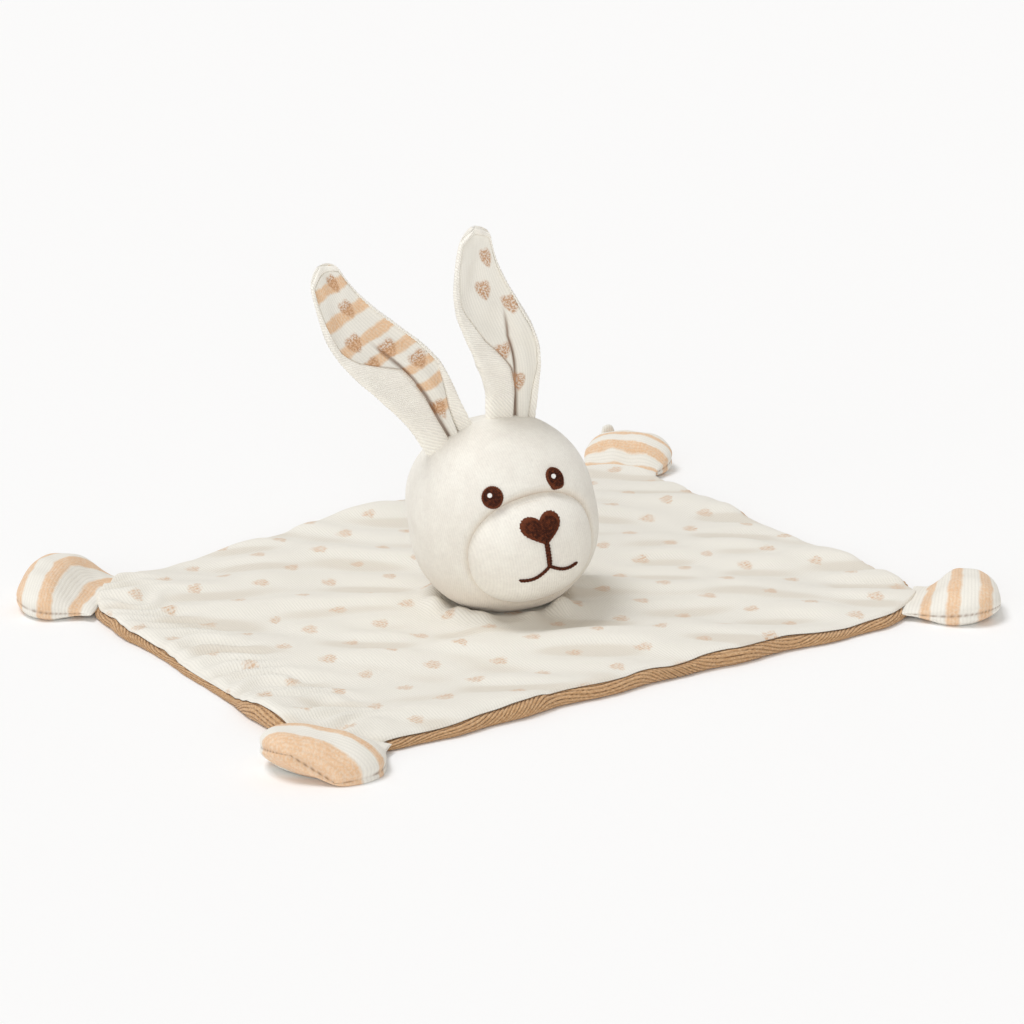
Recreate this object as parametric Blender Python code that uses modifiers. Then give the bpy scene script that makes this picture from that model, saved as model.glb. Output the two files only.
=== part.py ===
"""Comfort blanket: a stuffed bunny head with two long ears, sewn on the middle of a small two-layer blanket
that has a stuffed paw at each corner. Metres, +Z up, the blanket's long side along X, the face looking
roughly along -Y."""

import math

import bmesh
import bpy
import numpy as np
from mathutils import Matrix, Vector

# Cloths, and the clearance between pieces that touch
CLEARANCE = 0.0003
JERSEY = 0.0009
PAW_CLOTH = 0.0009
HEAD_CLOTH = 0.0014
EAR_VELOUR = 0.0017
OVERRUN = 0.010

# Blanket: its four corners as it lies, and sides drawn in between them by their seams
FRONT_LEFT = (-0.1490, -0.1175)
FRONT_RIGHT = (0.144, -0.116)
REAR_LEFT = (-0.148, 0.095)
REAR_RIGHT = (0.147, 0.117)
END_DRAW_IN = 0.008
FRONT_DRAW_IN = 0.007
REAR_DRAW_IN = 0.002
CORNER_CUT = 0.032
TOP_HEIGHT = 0.0056
JERSEY_STEP = 0.0013
BACKING_ROLL_SHARES = ((0.94, 0.30), (0.66, 0.0), (0.30, 0.0))
ROWS_LONG = 24
ROWS_WIDE = 18

# Folds of the blanket: a raised wave at the rear edge, a dip beside it, and broad low folds all over
REAR_EDGE = 0.104
HUMP_HEIGHT = 0.0045
HUMP_LENGTH = 0.055
HUMP_DEPTH = 0.034
DIP_DEPTH = 0.0024
DIP_PLACE = -0.086
DIP_LENGTH = 0.026
FOLD_HEIGHT = 0.0009
FOLD_PITCH = 0.056
FOLD_HEADING = math.radians(-33.5)
FOLD_SWAY = 0.034

# Head: centre over the blanket, heading of the face, and roll towards its right ear
HEAD_PLACE = (-0.0079, -0.0150)
HEAD_WIDTH = 0.0702
HEAD_DEPTH = 0.0705
HEAD_TALL = 0.0740
HEAD_SETTLE = 0.0022
HEAD_SQUARENESS = 2.33
JOWL_SHARE = 0.02
FACE_HEADING = math.radians(-101.0)
HEAD_ROLL = math.radians(10.4)
SEAT_HEIGHT = 0.0052
HEAD_HEIGHT = SEAT_HEIGHT + HEAD_TALL / 2 - HEAD_SETTLE
SEAT_RADIUS = 0.033
SEAT_FADE = 0.016
NECK_RADIUS = 0.0155
NECK_SETBACK = 0.006
NOD_BACK = math.radians(20.0)
NOD_CLEARANCE = math.radians(0.8)
HEAD_SEGMENTS = 28
HEAD_RINGS = 18

# Muzzle: an oval dome on the lower face, in the face's own side, up and out directions
MUZZLE_HALF_WIDTH = 0.0244
MUZZLE_HALF_HEIGHT = 0.0223
MUZZLE_SHIFT = -0.0010
MUZZLE_REACH = 0.0227
MUZZLE_SQUARENESS = 2.2
MUZZLE_DROP = 0.0048
MUZZLE_SINK = 0.0150
MUZZLE_OUT = HEAD_DEPTH / 2 - MUZZLE_SINK
MUZZLE_ROOT = 0.0060
MUZZLE_SEGMENTS = 22
MUZZLE_RINGS = 14

# Embroidery
EYE_RADIUS = 0.0043
EYE_HEIGHT = 0.0013
EYE_SIDE_ANGLE = math.radians(23.2)
EYE_UP_ANGLE = math.radians(31.0)
HIGHLIGHT_RADIUS = 0.0010
HIGHLIGHT_HEIGHT = 0.0006
HIGHLIGHT_SIDE = 0.0009
HIGHLIGHT_UP = 0.0007
NOSE_WIDTH = 0.0154
NOSE_HEIGHT = 0.0110
NOSE_RISE = 0.0072
NOSE_THICKNESS = 0.0011
NOSE_POINTS = 26
HEART_SHARES = ((1.0, 0.8125), (2.0, -0.3125), (3.0, -0.125), (4.0, -0.0625))
LINE_RADIUS = 0.0006
MOUTH_JOIN_UP = -0.0082
SMILE_HALF_WIDTH = 0.0120
SMILE_END_UP = -0.0112
SMILE_SAG = 0.0018
LINE_POINTS = 9

# Ears: the root's place on the crown, a curve along each ear, and a lean in the plane of the face and back.
# Each ear: name, side, root angle, lean, lean backwards, bow, length, width
EAR_WIDTH_SHARES = (
    (0.00, 0.76),
    (0.12, 0.84),
    (0.30, 0.99),
    (0.45, 1.00),
    (0.60, 0.93),
    (0.72, 0.79),
    (0.85, 0.60),
    (0.93, 0.49),
    (0.97, 0.36),
    (1.00, 0.18),
)
EAR_TIP_POWER = 1.35
EAR_TIP_DROP = 0.0012
EAR_TURN_SHARE = 0.35
EAR_CUP = 0.0036
EAR_CUP_SHARE = 0.5
EAR_WAVE = 0.0028
EAR_WRAP_SHARE = 0.84
EAR_LINING_SHARE = 0.77
EAR_ROOT_RADIUS = 0.0022
EAR_SEAT_CURVE = 0.060
EAR_CELLS_LONG = 13
EAR_CELLS_WIDE = 10
EARS = (
    ("left", -1.0, math.radians(22.4), math.radians(-24.6), math.radians(7.0), -0.0022, 0.0812, 0.0266),
    ("right", 1.0, math.radians(19.4), math.radians(-4.0), math.radians(-4.0), -0.0016, 0.0756, 0.0256),
)

# Paws: a stuffed bean that swells from its seam, bent sideways and tilted as it lies.
# Each paw: name, corner, heading, bend; and its shares: tilt over the width, width, upper swell
PAW_LENGTH = 0.0320
PAW_WIDTH = 0.0420
PAW_ROOT_SHARE = 0.84
PAW_TIP_SHARE = 0.34
PAW_PEAK_SHARE = 0.50
PAW_SQUARENESS = 2.8
PAW_ROOT_RADIUS = 0.0020
PAW_UPPER_SWELL = 0.0102
PAW_LOWER_SWELL = 0.0066
PAW_SEAM_RISE = 0.0030
PAW_HINGE_HEIGHT = 0.0030
PAW_NECK_STEPS = 2
PAW_LENGTH_SHARES = (0.05, 0.16, 0.32, 0.50, 0.68, 0.84, 0.95, 1.0)
PAW_CELLS_WIDE = 6
TAB_PLACE = (0.0300, 0.0120, 0.0026)
TAB_TURN = math.radians(-57.0)
TAB_WIDTH = 0.0055
TAB_LENGTH = 0.0092
TAB_LEAN = 0.0010
TAB_TAPER = 0.25
TAB_CELLS = 4
NOTCH_SLOPE = math.radians(26.0)
NOTCH_ARC = math.radians(4.0)
NOTCH_ARC_STEPS = 2
PAWS = (
    ("front_left", FRONT_LEFT, math.radians(-138.0), math.radians(5.0)),
    ("front_right", FRONT_RIGHT, math.radians(-50.0), math.radians(14.0)),
    ("rear_left", REAR_LEFT, math.radians(134.0), math.radians(6.0)),
    ("rear_right", REAR_RIGHT, math.radians(41.0), math.radians(-4.0)),
)
PAW_SHARES = {
    "front_left": (-0.07, 1.10, 1.0),
    "front_right": (0.0, 0.94, 1.0),
    "rear_left": (-0.04, 1.24, 0.95),
    "rear_right": (0.0, 0.96, 1.0),
}

CREAM = (0.90, 0.87, 0.79)
VELOUR_CREAM = (0.88, 0.85, 0.77)
TAN = (0.55, 0.35, 0.18)
STRIPED = (0.88, 0.76, 0.60)
STUFFING = (0.93, 0.93, 0.91)
BROWN = (0.055, 0.018, 0.010)
WHITE_THREAD = (0.93, 0.93, 0.93)

SIDE_AXIS = Vector((-math.sin(FACE_HEADING), math.cos(FACE_HEADING), 0.0))
FACE_AXIS = Vector((math.cos(FACE_HEADING), math.sin(FACE_HEADING), 0.0))
UP_AXIS = Vector((0.0, 0.0, 1.0))


def clear_scene():
    for obj in list(bpy.data.objects):
        bpy.data.objects.remove(obj, do_unlink=True)


def new_collection(name):
    collection = bpy.data.collections.new(name)
    bpy.context.scene.collection.children.link(collection)
    return collection


def new_material(name, colour, roughness):
    material = bpy.data.materials.new(name)
    material.use_nodes = True
    shader = material.node_tree.nodes["Principled BSDF"]
    shader.inputs["Base Color"].default_value = (*colour, 1.0)
    shader.inputs["Roughness"].default_value = roughness
    shader.inputs["Metallic"].default_value = 0.0
    return material


def new_empty(name, parent, matrix):
    empty = bpy.data.objects.new(name, None)
    parts.objects.link(empty)
    empty.parent = parent
    empty.matrix_local = matrix
    return empty


def new_piece(name, mesh, parent, material):
    piece = bpy.data.objects.new(name, mesh)
    parts.objects.link(piece)
    piece.parent = parent
    mesh.materials.append(material)
    mesh.shade_smooth()
    mesh.set_sharp_from_angle(angle=math.radians(50.0))
    return piece


def new_cutter(name, mesh, parent):
    cutter = bpy.data.objects.new(name, mesh)
    cutters.objects.link(cutter)
    cutter.parent = parent
    cutter.hide_render = True
    cutter.display_type = "WIRE"
    return cutter


def add_boolean(piece, other, operation):
    modifier = piece.modifiers.new(other.name, "BOOLEAN")
    modifier.operation = operation
    modifier.solver = "EXACT"
    modifier.object = other


def add_shell(piece, thickness):
    modifier = piece.modifiers.new("Cloth", "SOLIDIFY")
    modifier.thickness = thickness
    modifier.offset = -1.0
    modifier.use_even_offset = True


def face_outwards(shape):
    shape.normal_update()
    bmesh.ops.recalc_face_normals(shape, faces=shape.faces)
    if shape.calc_volume(signed=True) < 0.0:
        bmesh.ops.reverse_faces(shape, faces=shape.faces)


def mesh_of(name, points, faces):
    """A mesh of these points and faces, with its normals pointing out."""
    mesh = bpy.data.meshes.new(name)
    mesh.from_pydata([tuple(point) for point in points], [], faces)
    shape = bmesh.new()
    shape.from_mesh(mesh)
    face_outwards(shape)
    shape.to_mesh(mesh)
    shape.free()
    return mesh


def smoothstep(value):
    share = np.clip(value, 0.0, 1.0)
    return share * share * (3.0 - 2.0 * share)


def grid_edge(rows, columns):
    """The index of each point once round the edge of a grid."""
    index = np.arange(rows * columns).reshape(rows, columns)
    return np.concatenate([index[:-1, 0], index[-1, :-1], index[:0:-1, -1], index[0, :0:-1]])


def layered_mesh(name, top, bottom, rings=(), flat_underside=False):
    """A closed body between two point grids, whose edges are joined through any rings of points between."""
    rows, columns = top.shape[:2]
    edge = grid_edge(rows, columns)
    corner = np.arange(rows * columns).reshape(rows, columns)
    first = np.stack([corner[:-1, :-1], corner[1:, :-1], corner[1:, 1:]], axis=-1).reshape(-1, 3)
    second = np.stack([corner[:-1, :-1], corner[1:, 1:], corner[:-1, 1:]], axis=-1).reshape(-1, 3)
    cells = np.concatenate([first, second])
    points = [top.reshape(-1, 3)]
    faces = cells.tolist()
    loops = [edge]
    used = rows * columns
    for ring in rings:
        points.append(ring)
        loops.append(used + np.arange(len(edge)))
        used += len(edge)
    if flat_underside:
        points.append(bottom.reshape(-1, 3)[edge])
        loops.append(used + np.arange(len(edge)))
        faces.append(loops[-1][::-1].tolist())
    else:
        points.append(bottom.reshape(-1, 3))
        loops.append(used + edge)
        faces += (used + cells[:, ::-1]).tolist()
    for upper, lower in zip(loops[:-1], loops[1:]):
        after_upper = np.roll(upper, -1)
        after_lower = np.roll(lower, -1)
        faces += np.stack([upper, lower, after_lower, after_upper], axis=-1).tolist()
    return mesh_of(name, np.concatenate(points), faces)


def blanket_plan(inset):
    """X and Y of the blanket's grid: spread between its corners, with each side drawn in along a parabola."""
    along, across = np.meshgrid(
        np.linspace(-1.0, 1.0, ROWS_LONG + 1), np.linspace(-1.0, 1.0, ROWS_WIDE + 1), indexing="ij"
    )
    place = []
    for axis in range(2):
        front = FRONT_LEFT[axis] + (FRONT_RIGHT[axis] - FRONT_LEFT[axis]) * (1.0 + along) / 2
        rear = REAR_LEFT[axis] + (REAR_RIGHT[axis] - REAR_LEFT[axis]) * (1.0 + along) / 2
        place.append(front + (rear - front) * (1.0 + across) / 2)
    draw_in = np.where(across > 0.0, REAR_DRAW_IN, FRONT_DRAW_IN)
    x = place[0] - along * (inset + END_DRAW_IN * (1.0 - across**2))
    y = place[1] - across * (inset + draw_in * (1.0 - along**2))
    return x, y


def blanket_height(x, y):
    """Height of the jersey's upper side: broad low folds, the wave and dip behind, flat under the head."""
    towards = x * math.sin(FOLD_HEADING) - y * math.cos(FOLD_HEADING)
    beside = x * math.cos(FOLD_HEADING) + y * math.sin(FOLD_HEADING)
    phase = 2.0 * math.pi * towards / FOLD_PITCH + np.sin(beside / FOLD_SWAY)
    height = TOP_HEIGHT + FOLD_HEIGHT * np.sin(phase)
    rear = y - REAR_EDGE
    height += HUMP_HEIGHT * np.exp(-((x / HUMP_LENGTH) ** 2) - (rear / HUMP_DEPTH) ** 2)
    dip = x - DIP_PLACE
    height -= DIP_DEPTH * np.exp(-((dip / DIP_LENGTH) ** 2) - (rear / DIP_LENGTH) ** 2)
    radius = np.hypot(x - HEAD_PLACE[0], y - HEAD_PLACE[1])
    loose = smoothstep((radius - SEAT_RADIUS) / SEAT_FADE)
    return SEAT_HEIGHT + (height - SEAT_HEIGHT) * loose


def build_blanket(parent):
    """Both layers on one grid, so that the gap between them is the same all over."""
    x, y = blanket_plan(JERSEY_STEP)
    height = blanket_height(x, y)
    upper = np.stack([x, y, height], axis=-1)
    lower = np.stack([x, y, height - JERSEY], axis=-1)
    new_piece("blanket_top", layered_mesh("blanket_top", upper, lower), parent, materials["jersey"])

    height = height - JERSEY - CLEARANCE
    upper = np.stack([x, y, height], axis=-1)
    lower = np.stack([x, y, np.zeros_like(height)], axis=-1)
    edge = grid_edge(*height.shape)
    rings = []
    for height_share, inset_share in BACKING_ROLL_SHARES:
        full_x, full_y = blanket_plan(JERSEY_STEP * inset_share)
        ring = np.stack([full_x, full_y, height * height_share], axis=-1).reshape(-1, 3)[edge]
        rings.append(ring)
    mesh = layered_mesh("blanket_backing", upper, lower, rings, flat_underside=True)
    new_piece("blanket_backing", mesh, parent, materials["ribbed velour"])


def paw_plan(inset, width):
    """Local X from the root to the tip, the share across, and half the width, on the grid of a paw."""
    length = PAW_LENGTH - inset
    root = PAW_ROOT_RADIUS - inset
    behind = -root * np.cos(np.linspace(0.0, math.pi / 2, PAW_NECK_STEPS + 1))
    x = np.concatenate([behind, length * np.array(PAW_LENGTH_SHARES)])
    across = np.sin(np.linspace(-math.pi / 2, math.pi / 2, PAW_CELLS_WIDE + 1))
    x, across = np.meshgrid(x, across, indexing="ij")
    peak = PAW_PEAK_SHARE * PAW_LENGTH
    rise = smoothstep(x / peak)
    past = np.clip((x - peak) / (length - peak), 0.0, 1.0)
    fall = np.sqrt(1.0 - (1.0 - PAW_TIP_SHARE**2) * past**2)
    half = (width / 2) * np.where(x < peak, PAW_ROOT_SHARE + (1.0 - PAW_ROOT_SHARE) * rise, fall) - inset
    return x, across, half


def paw_swell(x, across, swell, inset):
    """Height over the seam surface: round about the hinge at the root, swelling to a peak, closed at the
    sides and the tip."""
    length = PAW_LENGTH - inset
    root = PAW_ROOT_RADIUS - inset
    peak = PAW_PEAK_SHARE * PAW_LENGTH
    behind = np.clip(-x / root, 0.0, 1.0)
    past = np.clip((x - peak) / (length - peak), 0.0, 1.0)
    neck = root * np.sqrt(1.0 - behind**2) * np.sqrt(1.0 - np.clip(x / length, 0.0, 1.0) ** 8)
    bulge = (swell - PAW_ROOT_RADIUS) * np.where(x < peak, smoothstep(x / peak), np.sqrt(1.0 - past**2))
    return (neck + bulge) * np.sqrt(1.0 - np.abs(across) ** PAW_SQUARENESS)


def paw_surface(inset, side, lift, bend, tilt, width, upper_share):
    """Points of a paw's upper (side 1) or lower (side -1) surface, in the frame of its hinge."""
    x, across, half = paw_plan(inset, width)
    y = across * half
    along_share = np.clip(x / PAW_LENGTH, 0.0, 1.0)
    seam = PAW_SEAM_RISE * smoothstep(along_share) + tilt * across * along_share
    swell = PAW_UPPER_SWELL * upper_share if side > 0.0 else PAW_LOWER_SWELL
    z = seam + side * (lift + paw_swell(x, across, swell, inset))
    z = np.maximum(z, inset - PAW_HINGE_HEIGHT)
    angle = bend * along_share
    straight = np.where(x < 0.0, x, 0.0)
    radius = PAW_LENGTH / bend
    centre_x = straight + radius * np.sin(angle)
    centre_y = radius * (1.0 - np.cos(angle))
    return np.stack([centre_x - y * np.sin(angle), centre_y + y * np.cos(angle), z], axis=-1)


def paw_hinge_matrix(corner, heading):
    """Frame on a corner's cut: X out across the corner, Y along the seam, origin on the hinge axis."""
    centre_x = corner[0] - math.copysign(CORNER_CUT / 2, corner[0])
    centre_y = corner[1] - math.copysign(CORNER_CUT / 2, corner[1])
    place = Matrix.Translation((centre_x, centre_y, PAW_HINGE_HEIGHT))
    return place @ Matrix.Rotation(heading, 4, "Z")


def build_paw(parent, name, corner, heading, bend):
    tilt_share, width_share, upper_share = PAW_SHARES[name]
    hinge = new_empty(f"paw_{name}_hinge", parent, paw_hinge_matrix(corner, heading))
    width = PAW_WIDTH * width_share
    tilt = PAW_WIDTH * tilt_share
    half_gap = CLEARANCE / 2
    stuffed = PAW_CLOTH + CLEARANCE
    for part, side in (("upper", 1.0), ("lower", -1.0)):
        outer = paw_surface(0.0, side, half_gap, bend, tilt, width, upper_share)
        inner = paw_surface(PAW_CLOTH, side, half_gap, bend, tilt, width, upper_share)
        node = f"paw_{name}_{part}_panel"
        new_piece(node, layered_mesh(node, outer, inner), hinge, materials["striped jersey"])
    over = paw_surface(stuffed, 1.0, half_gap, bend, tilt, width, upper_share)
    under = paw_surface(stuffed, -1.0, half_gap, bend, tilt, width, upper_share)
    node = f"paw_{name}_filling"
    new_piece(node, layered_mesh(node, over, under), hinge, materials["stuffing"])
    return hinge


def build_tab(hinge):
    """A short loose tab of cloth that stands up beside the seam of a paw."""
    steps = np.linspace(0.0, 1.0, TAB_CELLS + 1)
    across, along = np.meshgrid(np.linspace(-0.5, 0.5, TAB_CELLS + 1), steps, indexing="ij")
    x = across * TAB_WIDTH * (1.0 - TAB_TAPER * along)
    y = TAB_LEAN * along**2
    z = along * TAB_LENGTH
    near = np.stack([x, y, z], axis=-1)
    far = np.stack([x, y + JERSEY, z], axis=-1)
    name = "paw_rear_right_tab"
    mesh = layered_mesh(name, near, far)
    mesh.transform(Matrix.Translation(TAB_PLACE) @ Matrix.Rotation(TAB_TURN, 4, "Z"))
    new_piece(name, mesh, hinge, materials["jersey"])


def corner_cutter(name, hinge):
    """Everything outside a corner's cut: a groove round the hinge, opening upwards and downwards."""
    groove = PAW_ROOT_RADIUS + CLEARANCE
    outline = []
    for step in range(NOTCH_ARC_STEPS + 1):
        angle = math.pi + NOTCH_ARC * (2.0 * step / NOTCH_ARC_STEPS - 1.0)
        outline.append((groove * math.cos(angle), groove * math.sin(angle)))
    top = TOP_HEIGHT + HUMP_HEIGHT
    bottom = -(PAW_HINGE_HEIGHT + OVERRUN)
    first_x, first_z = outline[0]
    last_x, last_z = outline[-1]
    outline.append((last_x - (last_z - bottom) / math.tan(NOTCH_SLOPE), bottom))
    outline.append((CORNER_CUT, bottom))
    outline.append((CORNER_CUT, top))
    outline.append((first_x - (top - first_z) / math.tan(NOTCH_SLOPE), top))
    near = [(x, -CORNER_CUT, z) for x, z in outline]
    far = [(x, CORNER_CUT, z) for x, z in outline]
    count = len(outline)
    faces = [list(range(count)), list(range(count, 2 * count))[::-1]]
    for index in range(count):
        following = (index + 1) % count
        faces.append([index, count + index, count + following, following])
    return new_cutter(name, mesh_of(name, near + far, faces), hinge)


def head_axes():
    """The face's side, out and up directions, rolled towards the bunny's right."""
    side = SIDE_AXIS * math.cos(HEAD_ROLL) + UP_AXIS * math.sin(HEAD_ROLL)
    up = UP_AXIS * math.cos(HEAD_ROLL) - SIDE_AXIS * math.sin(HEAD_ROLL)
    return side, FACE_AXIS.copy(), up


def head_radius(directions, grow):
    """Distance from the head's centre to its surface, along unit directions as side, out and up shares."""
    half = np.array([HEAD_WIDTH / 2, HEAD_DEPTH / 2, HEAD_TALL / 2]) + grow
    jowl = 1.0 + JOWL_SHARE * np.clip(-directions[:, 2], 0.0, 1.0)
    scaled = np.abs(directions) / (half * np.stack([jowl, np.ones_like(jowl), np.ones_like(jowl)], axis=-1))
    return (scaled**HEAD_SQUARENESS).sum(axis=1) ** (-1.0 / HEAD_SQUARENESS)


def head_base(points, inset):
    """Lifts what would sink below the neck's seat, level in front and sloping up behind the nod axis."""
    behind = -(points @ np.array(FACE_AXIS)) - NECK_SETBACK
    slope = math.tan(NOD_BACK + NOD_CLEARANCE)
    floor = SEAT_HEIGHT + CLEARANCE - HEAD_HEIGHT + inset + np.clip(behind, 0.0, None) * slope
    points[:, 2] = np.maximum(points[:, 2], floor)
    return points


def head_form(name, grow, neck_open):
    """The head about its centre: a rounded, squarish ball with fuller jowls, on a flat neck."""
    mesh = bpy.data.meshes.new(name)
    shape = bmesh.new()
    bmesh.ops.create_uvsphere(shape, u_segments=HEAD_SEGMENTS, v_segments=HEAD_RINGS, radius=1.0)
    unit = np.array([vertex.co[:] for vertex in shape.verts])
    local = unit * head_radius(unit, grow)[:, None]
    axes = np.array([axis[:] for axis in head_axes()])
    points = head_base(local @ axes, -grow)
    for vertex, point in zip(shape.verts, points):
        vertex.co = point
    if neck_open:
        low = [face for face in shape.faces if in_neck(face)]
        bmesh.ops.delete(shape, geom=low, context="FACES")
    face_outwards(shape)
    shape.to_mesh(mesh)
    shape.free()
    return mesh


def in_neck(face):
    centre = face.calc_center_median()
    low = centre.z < -HEAD_HEIGHT / 2
    return low and math.hypot(centre.x, centre.y) < NECK_RADIUS


def superellipsoid(name, half, power, segments, rings):
    """A squarish ball with these half sizes."""
    mesh = bpy.data.meshes.new(name)
    shape = bmesh.new()
    bmesh.ops.create_uvsphere(shape, u_segments=segments, v_segments=rings, radius=1.0)
    unit = np.array([vertex.co[:] for vertex in shape.verts])
    scaled = np.abs(unit) / np.array(half)
    points = unit * ((scaled**power).sum(axis=1) ** (-1.0 / power))[:, None]
    for vertex, point in zip(shape.verts, points):
        vertex.co = point
    shape.to_mesh(mesh)
    shape.free()
    return mesh


def frame_matrix(x_axis, y_axis, z_axis, place):
    rotation = Matrix((x_axis, y_axis, z_axis)).transposed().to_4x4()
    return Matrix.Translation(place) @ rotation


def muzzle_mesh(name, grow, open_back):
    half = (MUZZLE_HALF_WIDTH + grow, MUZZLE_HALF_HEIGHT + grow, MUZZLE_REACH + grow)
    mesh = superellipsoid(name, half, MUZZLE_SQUARENESS, MUZZLE_SEGMENTS, MUZZLE_RINGS)
    mesh.transform(Matrix.Translation((MUZZLE_SHIFT, 0.0, 0.0)))
    if open_back:
        shape = bmesh.new()
        shape.from_mesh(mesh)
        hidden = [face for face in shape.faces if face.calc_center_median().z < -MUZZLE_ROOT]
        bmesh.ops.delete(shape, geom=hidden, context="FACES")
        shape.to_mesh(mesh)
        shape.free()
    return mesh


def muzzle_out(side, up, lift):
    """Height of the muzzle's surface over its middle plane at a place on it, raised by lift."""
    half = np.array([MUZZLE_HALF_WIDTH, MUZZLE_HALF_HEIGHT]) + lift
    shares = np.stack([np.abs(side - MUZZLE_SHIFT) / half[0], np.abs(up) / half[1]])
    used = (shares**MUZZLE_SQUARENESS).sum(axis=0)
    return (MUZZLE_REACH + lift) * (1.0 - used) ** (1.0 / MUZZLE_SQUARENESS)


def build_head(parent):
    """The nod axis, the head's cover and filling, and the centre frame that its face is placed in."""
    seat = SEAT_HEIGHT + CLEARANCE
    pivot = Vector((*HEAD_PLACE, seat)) - FACE_AXIS * NECK_SETBACK
    nod_matrix = frame_matrix(SIDE_AXIS, -FACE_AXIS, UP_AXIS, pivot)
    nod = new_empty("head_nod", parent, nod_matrix)
    centre = Vector((*HEAD_PLACE, HEAD_HEIGHT))
    middle = new_empty("head_centre", nod, nod_matrix.inverted() @ Matrix.Translation(centre))
    cover = new_piece("head_cover", head_form("head_cover", 0.0, True), middle, materials["velour"])
    add_shell(cover, HEAD_CLOTH)
    filling = head_form("head_filling", -(HEAD_CLOTH + CLEARANCE), False)
    new_piece("head_filling", filling, middle, materials["stuffing"])
    return nod, middle


def build_muzzle(middle):
    side, out, up = head_axes()
    place = out * MUZZLE_OUT - up * MUZZLE_DROP
    frame = new_empty("muzzle_frame", middle, frame_matrix(side, up, side.cross(up), place))
    head_clear = new_cutter("head_clear", head_form("head_clear", CLEARANCE, False), middle)
    cover = new_piece("muzzle_cover", muzzle_mesh("muzzle_cover", 0.0, True), frame, materials["velour"])
    add_shell(cover, HEAD_CLOTH)
    add_boolean(cover, head_clear, "DIFFERENCE")
    mesh = muzzle_mesh("muzzle_filling", -(HEAD_CLOTH + CLEARANCE), False)
    filling = new_piece("muzzle_filling", mesh, frame, materials["stuffing"])
    add_boolean(filling, head_clear, "DIFFERENCE")
    return frame, head_clear


def build_eye(middle, head_clear, name, sign):
    """A satin-stitched round that domes off the head, with a small highlight stitched on it."""
    side, out, up = head_axes()
    shares = np.array([
        sign * math.cos(EYE_UP_ANGLE) * math.sin(EYE_SIDE_ANGLE),
        math.cos(EYE_UP_ANGLE) * math.cos(EYE_SIDE_ANGLE),
        math.sin(EYE_UP_ANGLE),
    ])
    normal = (side * shares[0] + out * shares[1] + up * shares[2]).normalized()
    across = up.cross(normal).normalized()
    upright = normal.cross(across)
    place = normal * float(head_radius(shares[None, :], 0.0)[0])
    frame = new_empty(f"{name}_frame", middle, frame_matrix(across, upright, normal, place))
    half = (EYE_RADIUS, EYE_RADIUS, EYE_HEIGHT + CLEARANCE)
    eye = new_piece(name, superellipsoid(name, half, 2.4, 20, 8), frame, materials["brown thread"])
    add_boolean(eye, head_clear, "DIFFERENCE")
    grown = tuple(size + CLEARANCE for size in half)
    eye_clear = new_cutter(f"{name}_clear", superellipsoid(f"{name}_clear", grown, 2.4, 20, 8), frame)
    half = (HIGHLIGHT_RADIUS, HIGHLIGHT_RADIUS, HIGHLIGHT_HEIGHT + CLEARANCE)
    name = f"{name}_highlight"
    mesh = superellipsoid(name, half, 2.0, 12, 6)
    highlight = new_piece(name, mesh, frame, materials["white thread"])
    highlight.location = (-HIGHLIGHT_SIDE, HIGHLIGHT_UP, EYE_HEIGHT + CLEARANCE)
    add_boolean(highlight, eye_clear, "DIFFERENCE")


def build_nose(frame):
    """A heart, cut from a thickened copy of the muzzle's surface."""
    turn = np.linspace(0.0, 2.0 * math.pi, NOSE_POINTS, endpoint=False)
    heart_x = np.sin(turn) ** 3
    heart_y = sum(share * np.cos(times * turn) for times, share in HEART_SHARES)
    heart_y = (heart_y - heart_y.min()) / (heart_y.max() - heart_y.min()) - 0.5
    rise = MUZZLE_DROP + NOSE_RISE
    outline = np.stack([heart_x * NOSE_WIDTH / 2, rise + heart_y * NOSE_HEIGHT], axis=-1)
    reach = MUZZLE_REACH + OVERRUN
    near = [(x, y, 0.0) for x, y in outline]
    far = [(x, y, reach) for x, y in outline]
    count = NOSE_POINTS
    faces = [list(range(count)), list(range(count, 2 * count))[::-1]]
    faces += [[i, count + i, count + (i + 1) % count, (i + 1) % count] for i in range(count)]
    nose = new_piece("nose", mesh_of("nose", near + far, faces), frame, materials["brown thread"])
    outer = new_cutter("nose_top", muzzle_mesh("nose_top", CLEARANCE + NOSE_THICKNESS, False), frame)
    inner = new_cutter("nose_seat", muzzle_mesh("nose_seat", CLEARANCE, False), frame)
    add_boolean(nose, outer, "INTERSECT")
    add_boolean(nose, inner, "DIFFERENCE")


def stitched_line(name, side, up, frame):
    """A round cord of thread that follows the muzzle through these places, as a closed mesh."""
    lift = LINE_RADIUS + CLEARANCE
    out = muzzle_out(side, up, lift)
    curve = bpy.data.curves.new(name, "CURVE")
    curve.dimensions = "3D"
    curve.bevel_depth = LINE_RADIUS
    curve.bevel_resolution = 2
    curve.use_fill_caps = True
    spline = curve.splines.new("POLY")
    spline.points.add(len(side) - 1)
    for point, place in zip(spline.points, np.stack([side, up, out], axis=-1)):
        point.co = (*place, 1.0)
    guide = bpy.data.objects.new(name, curve)
    cutters.objects.link(guide)
    bpy.context.view_layer.update()
    evaluated = guide.evaluated_get(bpy.context.evaluated_depsgraph_get())
    mesh = bpy.data.meshes.new_from_object(evaluated)
    bpy.data.objects.remove(guide, do_unlink=True)
    shape = bmesh.new()
    shape.from_mesh(mesh)
    bmesh.ops.remove_doubles(shape, verts=shape.verts, dist=LINE_RADIUS / 100)
    face_outwards(shape)
    shape.to_mesh(mesh)
    shape.free()
    mesh.name = name
    return mesh


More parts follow.
